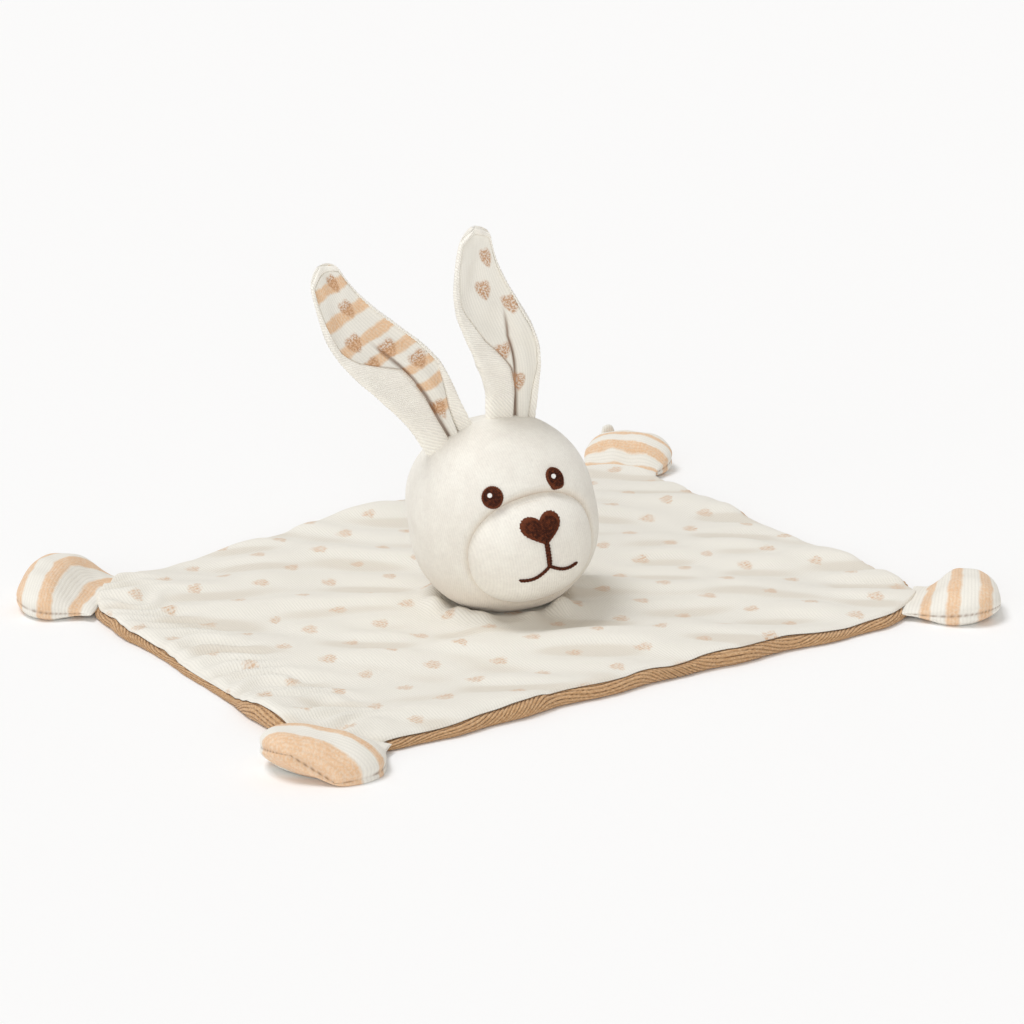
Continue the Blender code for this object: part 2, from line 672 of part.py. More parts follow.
def build_mouth(frame):
    """A short line down from the nose and a smile that sags on each side of it."""
    share = np.linspace(-1.0, 1.0, 2 * LINE_POINTS - 1)
    side = share * SMILE_HALF_WIDTH
    sag = SMILE_SAG * np.sin(math.pi * np.abs(share))
    up = MUZZLE_DROP + MOUTH_JOIN_UP + (SMILE_END_UP - MOUTH_JOIN_UP) * np.abs(share) - sag
    smile = stitched_line("mouth", side, up, frame)
    mouth = new_piece("mouth", smile, frame, materials["brown thread"])
    top = MUZZLE_DROP + NOSE_RISE - NOSE_HEIGHT / 2 - CLEARANCE - LINE_RADIUS
    stem_up = np.linspace(top, MUZZLE_DROP + MOUTH_JOIN_UP, LINE_POINTS)
    stem = new_cutter("mouth_stem", stitched_line("mouth_stem", np.zeros(LINE_POINTS), stem_up, frame), frame)
    add_boolean(mouth, stem, "UNION")


def ear_width(along, width):
    marks, shares = zip(*EAR_WIDTH_SHARES)
    return width * np.interp(along, marks, shares)


def ear_middle(reach_share, lean, bow, length, width):
    """The ear's middle surface, its forward normals and the share across: curved along, cupped across,
    round at the tip."""
    along = 1.0 - (1.0 - np.linspace(0.0, 1.0, EAR_CELLS_LONG + 1)) ** EAR_TIP_POWER
    across = np.linspace(-1.0, 1.0, EAR_CELLS_WIDE + 1) * reach_share
    along, across = np.meshgrid(along, across, indexing="ij")
    turned = lean * smoothstep(along / EAR_TURN_SHARE)
    aside = across * ear_width(along, width) / 2
    sway = bow * np.sin(math.pi * along) + EAR_WAVE * np.sin(2.0 * math.pi * along)
    x = length * along * math.sin(lean) + (aside + sway) * np.cos(turned)
    z = length * along * math.cos(lean) - (aside + sway) * np.sin(turned)
    z -= EAR_TIP_DROP * across**2 * along**8
    y = -EAR_CUP * smoothstep(along / EAR_CUP_SHARE) * across**2 * (1.0 - along**2)
    points = np.stack([x, y, z], axis=-1)
    normal = np.cross(np.gradient(points, axis=0), np.gradient(points, axis=1))
    normal /= np.linalg.norm(normal, axis=-1, keepdims=True)
    return points, normal * -np.sign(normal[..., 1:2]), across


def seated(points):
    """The same surface with its root row drawn down on a round of the head's curve about the hinge."""
    x = points[0, :, 0]
    y = points[0, :, 1]
    radius = EAR_ROOT_RADIUS + x**2 / (2.0 * EAR_SEAT_CURVE)
    points[0, :, 2] = -np.sqrt(radius**2 - y**2)
    return points


def ear_frame(sign, root_angle, back):
    """Where an ear's root lies on the head's crown: X along the hinge and the head's skin, Y backwards,
    Z out, and how far the skin slopes there."""
    side, out, up = head_axes()
    shares = np.array([sign * math.sin(root_angle), 0.0, math.cos(root_angle)])
    reach = float(head_radius(shares[None, :], 0.0)[0])
    steep = (abs(shares[0]) / HEAD_WIDTH) ** (HEAD_SQUARENESS - 1.0) / HEAD_WIDTH
    level = (shares[2] / HEAD_TALL) ** (HEAD_SQUARENESS - 1.0) / HEAD_TALL
    slope = math.atan2(sign * steep, level)
    normal = up * math.cos(slope) + side * math.sin(slope)
    hinge_axis = side * math.cos(slope) - up * math.sin(slope)
    place = (side * shares[0] + up * shares[2]) * reach + normal * (CLEARANCE + EAR_ROOT_RADIUS)
    backwards = normal.cross(hinge_axis)
    length_axis = normal * math.cos(back) + backwards * math.sin(back)
    return frame_matrix(hinge_axis, length_axis.cross(hinge_axis), length_axis, place), slope


def build_ear(middle, name, sign, root_angle, lean, back, bow, length, width):
    matrix, slope = ear_frame(sign, root_angle, back)
    hinge = new_empty(f"ear_{name}_hinge", middle, matrix)
    half_gap = CLEARANCE / 2
    points, normal, across = ear_middle(1.0, lean - slope, bow, length, width)
    wrap = smoothstep((np.abs(across) - EAR_WRAP_SHARE) / (1.0 - EAR_WRAP_SHARE))[..., None]
    front_side = seated(points + normal * (wrap * (JERSEY + CLEARANCE) - half_gap))
    back_side = seated(points - normal * (half_gap + EAR_VELOUR))
    node = f"ear_{name}_back"
    new_piece(node, layered_mesh(node, front_side, back_side), hinge, materials["velour"])
    points, normal, across = ear_middle(EAR_LINING_SHARE, lean - slope, bow, length, width)
    inner = seated(points + normal * half_gap)
    outer = seated(points + normal * (half_gap + JERSEY))
    node = f"ear_{name}_front"
    new_piece(node, layered_mesh(node, outer, inner), hinge, materials["jersey"])
    return hinge


def centre_on_table(origin):
    """Moves the whole part so that its box stands centred over the origin."""
    bpy.context.view_layer.update()
    graph = bpy.context.evaluated_depsgraph_get()
    corners = []
    for piece in parts.objects:
        if piece.type != "MESH":
            continue
        evaluated = piece.evaluated_get(graph)
        mesh = evaluated.to_mesh()
        points = np.empty(len(mesh.vertices) * 3)
        mesh.vertices.foreach_get("co", points)
        evaluated.to_mesh_clear()
        world = np.array(evaluated.matrix_world)
        points = points.reshape(-1, 3) @ world[:3, :3].T + world[:3, 3]
        corners += [points.min(axis=0), points.max(axis=0)]
    low = np.min(corners, axis=0)
    high = np.max(corners, axis=0)
    origin.location = (-(low[0] + high[0]) / 2, -(low[1] + high[1]) / 2, 0.0)
    bpy.context.view_layer.update()
    print("box", np.round(high - low, 4).tolist(), "lowest", round(float(low[2]), 5))


def print_axis(name, empty, direction):
    place = empty.matrix_world.translation
    axis = (empty.matrix_world.to_3x3() @ Vector(direction)).normalized()
    print(name, "at", [round(value, 5) for value in place], "axis", [round(value, 5) for value in axis])


clear_scene()
parts = new_collection("Comfort blanket")
cutters = new_collection("Cutters")
materials = {
    "jersey": new_material("jersey", CREAM, 0.9),
    "ribbed velour": new_material("ribbed velour", TAN, 0.95),
    "striped jersey": new_material("striped jersey", STRIPED, 0.9),
    "velour": new_material("velour", VELOUR_CREAM, 0.95),
    "stuffing": new_material("stuffing", STUFFING, 1.0),
    "brown thread": new_material("brown thread", BROWN, 0.6),
    "white thread": new_material("white thread", WHITE_THREAD, 0.6),
}
part_origin = new_empty("part_origin", None, Matrix.Identity(4))
build_blanket(part_origin)
hinges = {}
for paw_name, *paw_values in PAWS:
    paw_hinge = build_paw(part_origin, paw_name, *paw_values)
    hinges[f"paw_{paw_name}"] = (paw_hinge, (0.0, -1.0, 0.0))
    notch = corner_cutter(f"corner_{paw_name}", paw_hinge)
    for layer in ("blanket_top", "blanket_backing"):
        add_boolean(parts.objects[layer], notch, "DIFFERENCE")
build_tab(hinges["paw_rear_right"][0])
head_nod, head_middle = build_head(part_origin)
hinges["head_nod"] = (head_nod, (-1.0, 0.0, 0.0))
muzzle_frame, clear_head = build_muzzle(head_middle)
build_eye(head_middle, clear_head, "eye_left", -1.0)
build_eye(head_middle, clear_head, "eye_right", 1.0)
build_nose(muzzle_frame)
build_mouth(muzzle_frame)
for ear_name, *ear_values in EARS:
    ear_hinge = build_ear(head_middle, ear_name, *ear_values)
    hinges[f"ear_{ear_name}"] = (ear_hinge, (1.0, 0.0, 0.0))
centre_on_table(part_origin)
for hinge_name, (hinge_empty, hinge_direction) in hinges.items():
    print_axis(hinge_name, hinge_empty, hinge_direction)
print("origin moved by", [round(value, 5) for value in part_origin.location])
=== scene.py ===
"""Comfort blanket with a stuffed bunny head: cloths, velour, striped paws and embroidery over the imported
model."""

import math

import bpy
import numpy as np
from mathutils import Matrix, Vector


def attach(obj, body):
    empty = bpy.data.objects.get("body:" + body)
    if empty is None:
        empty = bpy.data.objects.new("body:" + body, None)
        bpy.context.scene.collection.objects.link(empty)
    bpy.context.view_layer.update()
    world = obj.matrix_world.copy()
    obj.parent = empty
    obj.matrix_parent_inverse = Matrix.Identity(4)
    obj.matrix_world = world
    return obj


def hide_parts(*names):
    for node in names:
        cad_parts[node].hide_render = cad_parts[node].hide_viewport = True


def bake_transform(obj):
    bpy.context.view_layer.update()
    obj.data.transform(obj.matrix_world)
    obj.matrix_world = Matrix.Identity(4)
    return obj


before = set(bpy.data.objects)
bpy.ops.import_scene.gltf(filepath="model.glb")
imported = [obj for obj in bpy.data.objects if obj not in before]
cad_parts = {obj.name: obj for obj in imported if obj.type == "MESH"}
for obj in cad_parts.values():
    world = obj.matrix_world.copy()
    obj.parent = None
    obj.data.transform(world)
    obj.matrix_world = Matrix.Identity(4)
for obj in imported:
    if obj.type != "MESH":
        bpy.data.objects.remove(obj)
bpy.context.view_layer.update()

# The part stands centred over the origin; its own values are measured from this point
PLACE = np.array([0.00193, 0.00018, 0.0])
FULL_TURN = 2.0 * math.pi
GRID_RIMS = (np.s_[0, :], np.s_[-1, :], np.s_[:, 0], np.s_[:, -1])

# Blanket: corners as it lies, sides drawn in by their seams, corner seams and their paws
FRONT_LEFT = (-0.1490, -0.1175)
FRONT_RIGHT = (0.144, -0.116)
REAR_LEFT = (-0.148, 0.095)
REAR_RIGHT = (0.147, 0.117)
END_DRAW_IN = 0.008
FRONT_DRAW_IN = 0.007
REAR_DRAW_IN = 0.002
CORNER_CUT = 0.032
CORNER_TUCK = 0.010
CORNER_GATHER = 0.20
TOP_HEIGHT = 0.0056
CLOTH = 0.0009
CLOTH_INSET = 0.0009
CLOTH_ROLL = 0.0011
CLOTH_ROLL_WIDTH = 0.0045
CLOTH_GRID = (247, 187)
CLOTH_CROWDING = 0.93
CLOTH_RIM_SHARES = 120.0
UNDERSIDE_GRID = (121, 91)
UNDERSIDE_INSET = 0.0030
UNDERSIDE_RIM = 0.0010
UNDERSIDE_RIBS = 0.0040
SIDE_WAVE = 0.0005
REAR_EDGE = 0.104
HUMP = (0.0045, 0.055, 0.034)
DIP = (0.0024, -0.086, 0.026)
FOLD_HEIGHT = 0.0009
FOLD_PITCH = 0.056
FOLD_HEADING = math.radians(-33.5)
FOLD_SWAY = 0.034
RIPPLE_HEIGHT = 0.00180
RIPPLE_WAVES = 46
RIPPLE_LENGTHS = (0.018, 0.034)
RIPPLE_HEADING = math.radians(-123.5)
RIPPLE_SPREAD = math.radians(14.0)
PLEAT_HEIGHT = 0.0014
PLEAT_PITCH = 0.0100
PLEAT_PLACE = 0.125
PLEAT_REACH = 0.012

# Lifted places of the cloth: height, middle along and across, radius
EDGE_LIFTS = (
    (0.0030, -0.145, -0.072, 0.016),
    (0.0014, -0.142, 0.046, 0.014),
    (-0.0016, -0.142, -0.010, 0.036),
    (0.0020, 0.010, -0.112, 0.065),
    (0.0007, -0.080, -0.115, 0.022),
    (0.0022, -0.034, -0.044, 0.009),
    (0.0018, -0.108, 0.092, 0.018),
    (0.0024, -0.070, 0.060, 0.016),
)

# Tan roll that shows below the cream edge
ROLL_POINTS = 2450
ROLL_OUTER_SIDES = 30
ROLL_INNER_SIDES = 10
ROLL_OUTER_TURN = 1.75
ROLL_HALF_WIDTH = 0.0032
ROLL_INSET = 0.0021
ROLL_RIDGES = 6.0
ROLL_RIDGE_HEIGHT = 0.00078
ROLL_SQUARENESS = 2.6
ROLL_LUMPS = 0.0003

# The roll's slow turns of its ridges (size, length, start) and its lumps (size, number, start)
ROLL_SLANTS = ((9.0, 0.16, 0.6), (1.8, 0.047, 0.0))
ROLL_LUMP_WAVES = ((1.0, 170.0, 0.0), (1.0, 263.0, 1.3), (0.6, 611.0, 0.4))

# Head, neck seat and muzzle
HEAD_PLACE = (-0.0079, -0.0150)
HEAD_HEIGHT = 0.0400
HEAD_SIZE = (0.0702, 0.0705, 0.0740)
HEAD_SQUARENESS = 2.33
JOWL_SHARE = 0.02
FACE_HEADING = math.radians(-101.0)
HEAD_ROLL = math.radians(10.4)
SEAT_HEIGHT = 0.0052
SEAT_RADIUS = 0.019
SEAT_FADE = 0.011
FOOT_RING = (0.0022, 0.0262, 0.0052)
NECK_SETBACK = 0.006
NECK_SLOPE = math.tan(math.radians(20.8))
MUZZLE_HALF = (0.0252, 0.0223, 0.0227)
MUZZLE_SHIFT = -0.0002
MUZZLE_SQUARENESS = 2.2
MUZZLE_DROP = 0.0048
MUZZLE_OUT = 0.02025
MUZZLE_SEAM_DEPTH = 0.0042
MUZZLE_BACK_SHARE = 0.35
HEAD_GRID = (201, 270)
MUZZLE_GRID = (121, 170)

# Embroidery
EYE_RADIUS = 0.0043
EYE_DOME = 0.0009
EYE_WIDTHS = {"eye_left": 0.96, "eye_right": 0.86}
EYE_POINTS = {"eye_left": 0.0, "eye_right": 0.13}
EYE_POINT_TURN = math.radians(292.0)
EYE_SIDE_ANGLE = math.radians(23.2)
EYE_UP_ANGLE = math.radians(31.0)
DOT_RADIUS = 0.0009
DOT_PLACE = (-0.0008, 0.0007)
EYE_SIDES = 96
DOT_SIDES = 32
NOSE_SIDES = 160
LINE_SIDES = 14
STITCH_SINK = 0.0008
NOSE_SIZE = (0.0162, 0.0112)
NOSE_RISE = 0.0053
NOSE_SHIFT = 0.0005
NOSE_DOME = 0.0009
NOSE_HEART = ((1.0, 13.0), (2.0, -4.0), (3.0, -1.7), (4.0, -0.8))
THREAD_RADIUS = 0.00068
MOUTH_JOIN_UP = -0.0082
SMILE_HALF_WIDTH = 0.0120
SMILE_END_UP = -0.0112
SMILE_SAG = 0.0018
STEM_THICKNESS = 1.55

# Ears: their widths at marks along them, then their other measures
EAR_WIDTH_MARKS = (0.00, 0.12, 0.30, 0.45, 0.60, 0.72, 0.85, 0.93, 1.00)
EAR_WIDTH_SHARES = (0.76, 0.84, 0.99, 1.00, 0.93, 0.79, 0.60, 0.50, 0.44)
EAR_TIP_ROUND = 0.075
EAR_ROOT_SINK = 0.0042
EAR_ROOT_CURVE = 0.0026
EAR_TURN_SHARE = 0.35
EAR_LINING_END = 0.978
EAR_TIP_LIP = 0.966
EAR_CUP = 0.0036
EAR_WAVE = 0.0028
EAR_ROOT_LIFT = 0.0025
EAR_ROOT_BACK = 0.0045
EAR_GRID = (169, 89)
EAR_CROWDING = 0.94
EAR_BACK_HEIGHT = 0.0019
EAR_LIP_HEIGHT = 0.0015
EAR_WRINKLES = 0.00022
EAR_BLEND = (-0.002, 0.010)

# Each ear: side, its root's angle from the crown, lean, tilt backwards, bow, length and width
EARS = {
    "left": (-1.0, math.radians(22.4), math.radians(-24.6), math.radians(7.0), -0.0022, 0.0812, 0.0266),
    "right": (1.0, math.radians(19.4), math.radians(-4.0), math.radians(-4.0), -0.0016, 0.0756, 0.0256),
}

# Each lining: marks along the ear, and where it starts and ends across there
EAR_LININGS = {
    "left": (
        (0.00, 0.15, 0.30, 0.38, 0.46, 0.54, 0.63, 0.85, 1.00),
        (-0.02, 0.02, 0.08, 0.08, -0.28, -0.64, -0.80, -0.84, -0.80),
        (0.34, 0.66, 0.92, 0.94, 0.95, 0.95, 0.95, 0.94, 0.88),
    ),
    "right": (
        (0.00, 0.12, 0.22, 0.32, 0.42, 0.54, 0.65, 0.85, 1.00),
        (0.08, 0.12, 0.06, -0.20, -0.46, -0.64, -0.80, -0.84, -0.80),
        (0.62, 0.80, 0.90, 0.93, 0.94, 0.94, 0.94, 0.93, 0.86),
    ),
}
HEART_SIZE = 0.0034
EAR_HEARTS = {
    "left": ((0.062, -0.0005), (0.050, -0.0079), (0.0405, 0.0016), (0.0302, 0.0083), (0.0726, 0.0022),
             (0.0091, 0.0040), (0.0385, -0.0076)),
    "right": ((0.063, 0.0039), (0.051, -0.0021), (0.043, 0.0072), (0.0245, 0.0000), (0.0107, 0.0043)),
}
EAR_CREASES = {"left": (0.04, 0.09, 0.12, 0.10), "right": (0.16, 0.17, 0.24, 0.60)}
EAR_BANDS = (
    (0.0078, 0.0116), (0.0182, 0.0222), (0.0270, 0.0310), (0.0373, 0.0416),
    (0.0473, 0.0517), (0.0585, 0.0632), (0.0702, 0.0747), (0.0795, 0.0900),
)

# Paws
PAW_LENGTH = 0.0320
PAW_WIDTH = 0.0420
PAW_ROOT_SHARE = 0.84
PAW_TIP_SHARE = 0.34
PAW_PEAK = 0.0160
PAW_BLUNTNESS = 2.8
PAW_ROOT_RADIUS = 0.0024
PAW_SWELLS = {"upper": 0.0106, "lower": 0.0068}
PAW_SEAM_RISE = 0.0030
PAW_HINGE_HEIGHT = 0.0030
PAW_BACK = 0.0012
PAW_GRID = (73, 65)
PAW_BAND_REACH = 0.044

# Each paw: corner, heading, bend to the side, tilt of its seam, share of the width, share of the upper swell
PAWS = {
    "front_left": (FRONT_LEFT, math.radians(-138.0), math.radians(5.0), -0.0046, 1.06, 1.0),
    "front_right": (FRONT_RIGHT, math.radians(-50.0), math.radians(14.0), 0.0, 0.94, 1.0),
    "rear_left": (REAR_LEFT, math.radians(134.0), math.radians(6.0), -0.0017, 1.24, 0.95),
    "rear_right": (REAR_RIGHT, math.radians(41.0), math.radians(-4.0), 0.0, 0.96, 1.0),
}

# Each paw's tan bands: slant, bow, and where each band starts and ends along the paw
PAW_BANDS = {
    "front_left": (-0.09, 0.0, ((0.0154, 0.0188), (0.0258, 0.0335))),
    "front_right": (0.0, 0.0, ((0.0035, 0.0070), (0.0125, 0.0170), (0.0235, 0.0280))),
    "rear_left": (0.0, 24.0, ((0.0010, 0.0055), (0.0125, 0.0185), (0.0262, 0.0310))),
    "rear_right": (0.0, 0.0, ((0.0010, 0.0032), (0.0078, 0.0124), (0.0172, 0.0196), (0.0262, 0.0300))),
}

# Loose fold of cloth at the rear right paw
TAB_HEIGHT = 0.0092
TAB_WIDTH = 0.0034
TAB_CLOTH = 0.0009
TAB_TURN = math.radians(-57.0)
TAB_PLACE = np.array([0.0300, 0.0120, 0.0026])

# Surfaces: the hearts' size and lattice, knit and pile
SPOT_SIZE = 0.0030
SPOT_LATTICE = ((0.0187, 0.0110), (0.0240, -0.0090))
SPOT_DRIFT = 0.010
STRIPE_WAVER = 0.0008
STRIPE_BLUR = 0.0005
VELOUR_RIBS = 1020.0
JERSEY_RELIEF = 0.0004
PILE_RELIEF = 0.0005
THREAD_RELIEF = 0.0003

# Light: an even world and two soft suns, each from shares to the camera's right, towards the camera, and up
WORLD_LIGHT = 0.545
WORLD_TINT = (1.0, 0.970, 0.930, 1.0)
LAMP_TINT = (0.960, 0.985, 1.020)
KEY_LIGHT = 1.31
KEY_SPREAD = 25.0
KEY_FROM = (-0.34, 0.0, 0.94)
FILL_LIGHT = 1.05
FILL_SPREAD = 60.0
FILL_FROM = (-0.25, 0.95, 0.14)

# Floor and the camera fitted to the photograph
FLOOR_REACH = 12.0
FLOOR_COLOUR = (0.98, 0.98, 0.98, 1.0)
CAMERA_AZIMUTH = math.radians(-33.48)
CAMERA_ELEVATION = math.radians(19.46)
CAMERA_DISTANCE = 1.2
CAMERA_LENS = 108.0
CAMERA_SENSOR = 36.0
CAMERA_SHIFT = (14.8 / 1024, 85.1 / 1024)
CAMERA_RANGE = 60.0

SIDE = np.array([-math.sin(FACE_HEADING), math.cos(FACE_HEADING), 0.0])
FACE = np.array([math.cos(FACE_HEADING), math.sin(FACE_HEADING), 0.0])
UP = np.array([0.0, 0.0, 1.0])
HEAD_SIDE = SIDE * math.cos(HEAD_ROLL) + UP * math.sin(HEAD_ROLL)
HEAD_UP = UP * math.cos(HEAD_ROLL) - SIDE * math.sin(HEAD_ROLL)
HEAD_AXES = np.array([HEAD_SIDE, FACE, HEAD_UP])
HEAD_CENTRE = np.array([*HEAD_PLACE, HEAD_HEIGHT]) + PLACE
MUZZLE_AXES = np.array([HEAD_SIDE, HEAD_UP, np.cross(HEAD_SIDE, HEAD_UP)])
MUZZLE_CENTRE = HEAD_CENTRE + FACE * MUZZLE_OUT - HEAD_UP * MUZZLE_DROP


def srgb(red, green, blue):
    """A colour given as it looks on a screen, from 0 to 255, as linear light with full cover."""
    share = np.array([red, green, blue]) / 255.0
    linear = np.where(share <= 0.04045, share / 12.92, ((share + 0.055) / 1.055) ** 2.4)
    return (*linear.tolist(), 1.0)


def smoothstep(value):
    share = np.clip(value, 0.0, 1.0)
    return share * share * (3.0 - 2.0 * share)


def bell(*values):
    """A bump of height one where all the values are zero, gone by about two."""
    return np.exp(-sum(value**2 for value in values))


def stacked(*parts):
    return np.stack(parts, axis=-1)


def circle(count):
    """Angles at even steps round a full turn."""
    return np.linspace(0.0, FULL_TURN, count, endpoint=False)


def crowded(count, share):
    """Steps from -1 to 1 that draw closer together towards both ends."""
    return np.sin(np.linspace(-1.0, 1.0, count) * math.pi / 2 * share) / math.sin(math.pi / 2 * share)


def level_grid(first, second):
    return np.meshgrid(first, second, indexing="ij")


def soft_noise(seed, count, lengths, heading, spread):
    """A smooth random field: a sum of plane waves of random length, heading and phase, with a spread of
    one."""
    random = np.random.default_rng(seed)
    length = random.uniform(lengths[0], lengths[1], count)
    turn = random.normal(heading, spread, count)
    phase = random.uniform(0.0, FULL_TURN, count)

    def field(x, y):
        total = np.zeros_like(x)
        for wave in range(count):
            number = FULL_TURN / length[wave]
            total += np.sin(number * (x * math.cos(turn[wave]) + y * math.sin(turn[wave])) + phase[wave])
        return total / math.sqrt(count / 2.0)

    return field


ripples = soft_noise(11, RIPPLE_WAVES, RIPPLE_LENGTHS, RIPPLE_HEADING, RIPPLE_SPREAD)
swells = soft_noise(5, 14, (0.040, 0.090), 0.0, 3.0)
lumps = soft_noise(23, 24, (0.020, 0.045), 0.0, 3.0)


# Meshes


def cells_of(index):
    """The four-cornered cells of a grid of point numbers."""
    return np.stack([index[:-1, :-1], index[1:, :-1], index[1:, 1:], index[:-1, 1:]], axis=-1).reshape(-1, 4)


def make_piece(name, points, quads, triangles, fields, material):
    """A mesh object at the origin; fields are its point attributes. Turned so that its faces point
    outwards."""
    quads = np.asarray(quads, dtype=np.int64).reshape(-1, 4)
    triangles = np.asarray(triangles, dtype=np.int64).reshape(-1, 3)
    halves = np.concatenate([quads[:, [0, 1, 2]], quads[:, [0, 2, 3]], triangles])
    a, b, c = (points[halves[:, k]] for k in range(3))
    if np.einsum("ij,ij->i", a, np.cross(b, c)).sum() < 0.0:
        quads = quads[:, ::-1]
        triangles = triangles[:, ::-1]
    mesh = bpy.data.meshes.new(name)
    mesh.vertices.add(len(points))
    mesh.vertices.foreach_set("co", points.astype(np.float32).ravel())
    loops = np.concatenate([quads.ravel(), triangles.ravel()]).astype(np.int32)
    sizes = np.concatenate([np.full(len(quads), 4), np.full(len(triangles), 3)])
    starts = np.concatenate([[0], np.cumsum(sizes)[:-1]]).astype(np.int32)
    mesh.loops.add(len(loops))
    mesh.loops.foreach_set("vertex_index", loops)
    mesh.polygons.add(len(sizes))
    mesh.polygons.foreach_set("loop_start", starts)
    mesh.update(calc_edges=True)
    mesh.validate()
    for field, values in fields.items():
        kind = "FLOAT_VECTOR" if np.ndim(values) == 2 else "FLOAT"
        attribute = mesh.attributes.new(field, kind, "POINT")
        flat = values.astype(np.float32).ravel()
        attribute.data.foreach_set("vector" if kind == "FLOAT_VECTOR" else "value", flat)
    mesh.shade_smooth()
    piece = bpy.data.objects.new(name, mesh)
    bpy.context.scene.collection.objects.link(piece)
    mesh.materials.append(material)
    return piece


def pillow(name, upper, lower, fields, material):
    """A closed skin of two grids that share their rim, which is the upper one's."""
    rows, columns = upper.shape[:2]
    top = np.arange(rows * columns).reshape(rows, columns)
    low = top.copy()
    low[1:-1, 1:-1] = rows * columns + np.arange((rows - 2) * (columns - 2)).reshape(rows - 2, columns - 2)
    joined = {}
    for field, (above, below) in {"place": (upper, lower), **fields}.items():
        tail = above.shape[2:]
        joined[field] = np.concatenate([above.reshape(-1, *tail), below[1:-1, 1:-1].reshape(-1, *tail)])
    quads = np.concatenate([cells_of(top), cells_of(low)[:, ::-1]])
    return make_piece(name, joined.pop("place"), quads, [], joined, material)


def join_rims(first, second, rim):
    for side in GRID_RIMS:
        first[side] = second[side] = rim[side]


def capped(name, rings, poles, fields, material):
    """A closed skin of rings of points between two poles."""
    count, around = rings.shape[:2]
    index = 2 + np.arange(count * around).reshape(count, around)
    after = np.roll(index, -1, axis=1)
    quads = np.stack([index[:-1], index[1:], after[1:], after[:-1]], axis=-1).reshape(-1, 4)
    zero = np.zeros(around, dtype=int)
    near = np.stack([zero, index[0], after[0]], axis=-1)
    far = np.stack([zero + 1, after[-1], index[-1]], axis=-1)
    joined = {}
    for field, (values, ends) in {"place": (rings, poles), **fields}.items():
        tail = values.shape[2:]
        joined[field] = np.concatenate([np.asarray(ends, float).reshape(2, *tail), values.reshape(-1, *tail)])
    return make_piece(name, joined.pop("place"), quads, np.concatenate([near, far]), joined, material)


def round_grid(rings, around):
    """Unit directions in rings between two poles, which lie along the third axis, and the poles."""
    polar, turn = level_grid(np.linspace(0.0, math.pi, rings)[1:-1], circle(around))
    directions = stacked(np.sin(polar) * np.cos(turn), np.sin(polar) * np.sin(turn), np.cos(polar))
    return directions, np.array([[0.0, 0.0, 1.0], [0.0, 0.0, -1.0]])


def looped(name, points, fields, material):
    """A ring of profiles that closes both ways, like a tube joined end to end."""
    rows, columns = points.shape[:2]
    index = np.arange(rows * columns).reshape(rows, columns)
    index = np.pad(index, ((0, 1), (0, 1)), mode="wrap")
    flat = {field: values.reshape(-1, *values.shape[2:]) for field, values in fields.items()}
    return make_piece(name, points.reshape(-1, 3), cells_of(index), [], flat, material)


# Shader nodes


class Value:
    """One output in a node tree. Arithmetic with it adds the nodes that work the result out."""

    def __init__(self, socket):
        self.socket = socket
        self.tree = socket.id_data

    def __add__(self, other):
        return maths("ADD", self, other)

    def __sub__(self, other):
        return maths("SUBTRACT", self, other)

    def __rsub__(self, other):
        return maths("SUBTRACT", other, self)

    def __mul__(self, other):
        return maths("MULTIPLY", self, other)

    def __truediv__(self, other):
        return maths("DIVIDE", self, other)

    def __pow__(self, other):
        return maths("POWER", self, other)

    def __abs__(self):
        return maths("ABSOLUTE", self)


def add_node(tree, kind, inputs, output=0, **settings):
    """A new node with its settings and inputs, given as plain numbers or as values; gives one of its
    outputs."""
    node = tree.nodes.new(kind)
    for key, value in settings.items():
        setattr(node, key, value)
    for key, value in inputs.items():
        if isinstance(value, Value):
            tree.links.new(value.socket, node.inputs[key])
        else:
            node.inputs[key].default_value = value
    return Value(node.outputs[output])


def maths(operation, *values):
    tree = next(value.tree for value in values if isinstance(value, Value))
    return add_node(tree, "ShaderNodeMath", dict(enumerate(values)), operation=operation)


def sine(value):
    return maths("SINE", value)


def vector_maths(operation, first, second, output=0):
    return add_node(first.tree, "ShaderNodeVectorMath", {0: first, 1: second}, output, operation=operation)


def mixed(factor, first, second):
    """The first colour where the factor is 0, the second where it is 1."""
    return add_node(factor.tree, "ShaderNodeMix", {0: factor, 6: first, 7: second}, 2, data_type="RGBA")


def shaded(colour, share):
    """A colour multiplied by a share."""
    inputs = {0: 1.0, 6: colour, 7: share}
    return add_node(colour.tree, "ShaderNodeMix", inputs, 2, data_type="RGBA", blend_type="MULTIPLY")


def noise(vector, scale, detail=2.0, roughness=0.5, output=0):
    inputs = {"Vector": vector, "Scale": scale, "Detail": detail, "Roughness": roughness}
    return add_node(vector.tree, "ShaderNodeTexNoise", inputs, output)


def spread(value, low, high):
    """A value spread from 0 at low to 1 at high, smoothly."""
    inputs = {"Value": value, "From Min": low, "From Max": high}
    return add_node(value.tree, "ShaderNodeMapRange", inputs, interpolation_type="SMOOTHSTEP")


def parts_of(vector):
    """The first two numbers of a vector."""
    node = add_node(vector.tree, "ShaderNodeSeparateXYZ", {0: vector}).socket.node
    return Value(node.outputs[0]), Value(node.outputs[1])


def kept_on_points(vector, name):
    """A number kept on the piece's own points."""
    return add_node(vector.tree, "ShaderNodeAttribute", {}, 2, attribute_name=name)


# Materials


